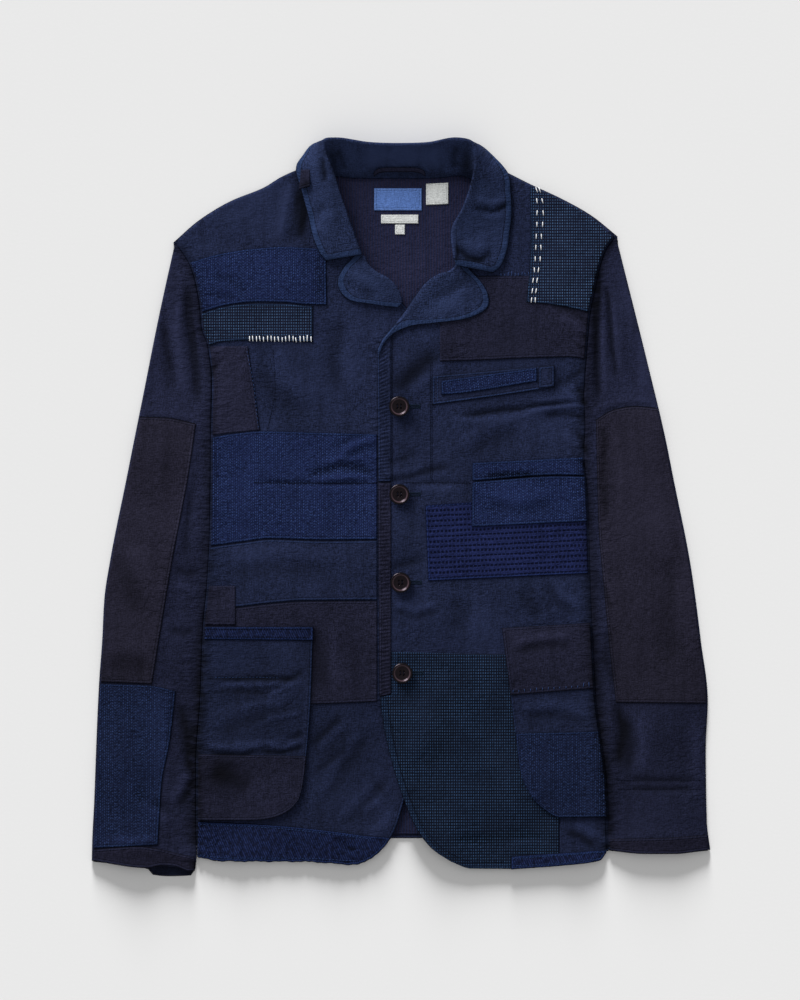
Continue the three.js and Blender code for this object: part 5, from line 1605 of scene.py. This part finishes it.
def make_seams():
    """Machine stitches: name, layer, height above it, thread, pitch, stitch length, gauge and lines."""
    dark, blue, fine = (DARK_THREAD, "collar_navy"), (BLUE_THREAD, "label_blue"), 0.26
    on_panel, on_patch = ON_PANEL + PATCH, ON_PATCH + PATCH
    for name, layer, above, look, pitch, length, gauge, lines in (
        ("right_front_seams", body_layer, PANEL, dark, 3.0, 2.3, 0.3,
         [[(-84, 300), (-92, 262), (-88, 230)], [(-134, 76), (-126, 120), (-128, 160)]]),
        ("right_patch_seams", body_layer, on_panel, dark, 3.0, 2.9, 0.42,
         [[(-147, 25.5), (-100, 24.8), (-24, 25)]]),
        ("side_patch_stitches", body_layer, on_panel, blue, 4.2, 2.2, 0.3,
         [[(-142.6, 80), (-147, 120), (-154.6, 160)]]),
        ("left_front_seams", left_front_layer, PANEL, dark, 3.0, 2.7, 0.3,
         [[(31, 147), (31, 26)], [(4, 25.4), (36, 25.6), (70, 25)], [(29.4, 144), (29.4, 28)],
          [(-8.6, 176), (-8.6, 26)]]),
        ("welt_stitches", left_front_layer, on_panel, blue, 3.2, 2.0, fine,
         [[(33, 131), (33, 105)], [(36.5, 131), (36.5, 105.5)], [(33, 104.6), (94, 113), (152, 122)]]),
        ("hem_stitches_left", left_front_layer, on_patch, blue, 3.2, 2.2, fine,
         [[(112, -350.5), (158, -347.4), (204, -344)], [(112, -358), (158, -355), (203, -350)]]),
        ("hem_stitches_right", body_layer, on_panel, blue, 3.4, 2.2, 0.28,
         [[(-201, -316.5), (-168, -317.8), (-127, -320), (-76, -325), (-29, -331)],
          [(-201, -347), (-177, -350), (-97, -350.4), (-46, -353)]]),
        ("cutaway_stitches", left_front_layer, on_panel, dark, 3.2, 2.4, 0.3,
         [[(-10.5, -212), (-2.5, -255), (12.5, -298), (24, -320), (37, -336), (54, -347.5), (72, -353.5),
           (104, -354)]]),
        ("sleeve_tucks", left_sleeve_layer, PANEL, dark, 3.0, 2.7, 0.3,
         [[(216, -272.2), (260, -272.6), (302, -272.6)], [(216, -281), (260, -281.4), (302, -281.2)]]),
        ("elbow_seams", left_sleeve_layer, PANEL, dark, 3.0, 2.9, 0.45,
         [[(195, 88.4), (214, 99), (234, 102), (256, 100)]]),
        ("elbow_seams_right", right_sleeve_layer, PANEL, dark, 3.0, 2.9, 0.45,
         [[(-262, 91.4), (-235, 90.4), (-205.5, 84.4)]]),
        ("pocket_darning", body_layer, ON_PATCH + POCKET, blue, 3.4, 2.2, 0.18,
         [[(-186, -169.6), (-150, -169.2), (-120, -170)]]),
        ("pocket_band_stitches", body_layer, ON_POCKET + PATCH, dark, 2.8, 2.0, 0.3,
         [[(-194, -121), (-89.5, -121)], [(-194, -129.2), (-89.5, -130)]]),
    ):
        thread_object(name, running(lines, pitch, length), gauge, at_height(layer, above), look, 0.2, 0.35)
    yoke = ticks([(100, 231.5), (128, 232.5)], 9, 3.4)
    thread_object("yoke_ticks", yoke, 0.34, at_height(left_front_layer, on_panel), blue)
    hem = ticks([(112, -184.6), (188, -178.8)], 14, 2.6)
    hem[1][-2:, 1] += 2.4
    thread_object("pocket_ticks", hem, 0.36, at_height(left_front_layer, ON_POCKET + PATCH), blue)


def upright(xs, low, high):
    """Start and end points of stitches at several x, all from one height on the cloth to another."""
    return np.column_stack([xs, np.full(len(xs), low)]), np.column_stack([xs, np.full(len(xs), high)])


def make_button_threads():
    """A buttonhole beside every button, two rows of stitches and a bar at its end, and the threads that
    cross the button's four holes."""
    across = np.array([-HOLE_OFFSET, -HOLE_OFFSET + 0.35, HOLE_OFFSET - 0.35, HOLE_OFFSET])
    slit, lip, bar, dish = 0.25, 2.1, 2.3, 2.3
    for number, (cx, cy) in enumerate(BUTTON_CENTRES, 1):
        above = ON_PANEL + PATCH if number == len(BUTTON_CENTRES) else PANEL
        xs = np.arange(8.0, 19.5, 0.85) + cx
        sides = [upright(xs, cy - slit, cy - lip), upright(xs, cy + slit, cy + lip),
                 upright(cx + np.array([20, 20.7]), cy - bar, cy + bar)]
        thread_object(f"buttonhole_{number}", map(np.concatenate, zip(*sides)), 0.36,
                      at_height(left_front_layer, above), (TEAL_THREAD, "collar_navy"), arch=0.3)
        top = at_point(left_front_layer, cx, cy) + ON_PATCH + BUTTON_GAP + dish
        thread_object(f"button_thread_{number}", upright(cx + across, cy - HOLE_OFFSET, cy + HOLE_OFFSET),
                      0.24, at_height(table_layer, top), (DARK_THREAD, "dark_horn"), arch=0.25, sink=1.5)


# ---------------------------------------------------------------- studio


def floor_finish():
    """Matt pale studio paper with a barely visible tooth."""
    finish = Finish("studio_paper")
    grain = finish.noise(finish.place(), 400, 400, 400, 2)
    color = finish.mix(grain, srgb(231, 231, 231), srgb(233, 233, 233))
    return finish.surface(color, finish.times(grain, 0.00002), roughness=1.0, specular=0.0)


def make_sun(name, strength, spread, elevation, turn):
    """Wide soft light from beyond the collar: its spread, height above the floor and turn in degrees."""
    light = bpy.data.lights.new(name, "SUN")
    light.energy = strength
    light.angle = math.radians(spread)
    made = bpy.data.objects.new(name, light)
    made.rotation_euler = math.radians(elevation - 90), 0, math.radians(turn)
    bpy.context.scene.collection.objects.link(made)
    return made


def make_studio():
    """Pale floor, an even pale sky, a soft key light from beyond the collar, and the camera above."""
    side, sky = 4.0 / MM, 0.47
    points = np.array([[-side, -side, 0], [side, -side, 0], [side, side, 0], [-side, side, 0]])
    floor = mesh_object("studio_floor", points, [[0, 1, 2, 3]], floor_finish())

    world = bpy.data.worlds.new("studio")
    bpy.context.scene.world = world
    world.use_nodes = True
    background = world.node_tree.nodes["Background"]
    background.inputs["Color"].default_value = (1.0, 1.0, 1.0, 1.0)
    background.inputs["Strength"].default_value = sky

    key = make_sun("key", 4.4, 30, 21, 30)
    low = make_sun("low_key", 8.2, 17, 12, 3)
    for light, state in ((low, "INCLUDE"), (key, "EXCLUDE")):
        linked = bpy.data.collections.new(light.name + "_receivers")
        linked.objects.link(floor)
        linked.collection_objects[0].light_linking.link_state = state
        light.light_linking.receiver_collection = linked

    lens, sensor, view_height = 200, 36, 1.0
    distance = view_height * lens / sensor
    camera = bpy.data.cameras.new("camera")
    camera.lens = lens
    camera.sensor_width = sensor
    camera.clip_end = 20
    camera_object = bpy.data.objects.new("camera", camera)
    camera_object.location = (-1 * MM, 8 * MM, distance + 6 * MM)
    bpy.context.scene.collection.objects.link(camera_object)
    bpy.context.scene.camera = camera_object
    bpy.context.scene.view_settings.view_transform = "Standard"


make_studio()
make_back()
make_under_sleeves()
make_fronts()
make_sleeves()
make_sleeve_pieces()
make_right_front_patches()
make_left_front_patches()
make_collar()
make_lapels()
make_neck_pieces()
make_buttons()
make_hand_stitches()
make_seams()
make_button_threads()
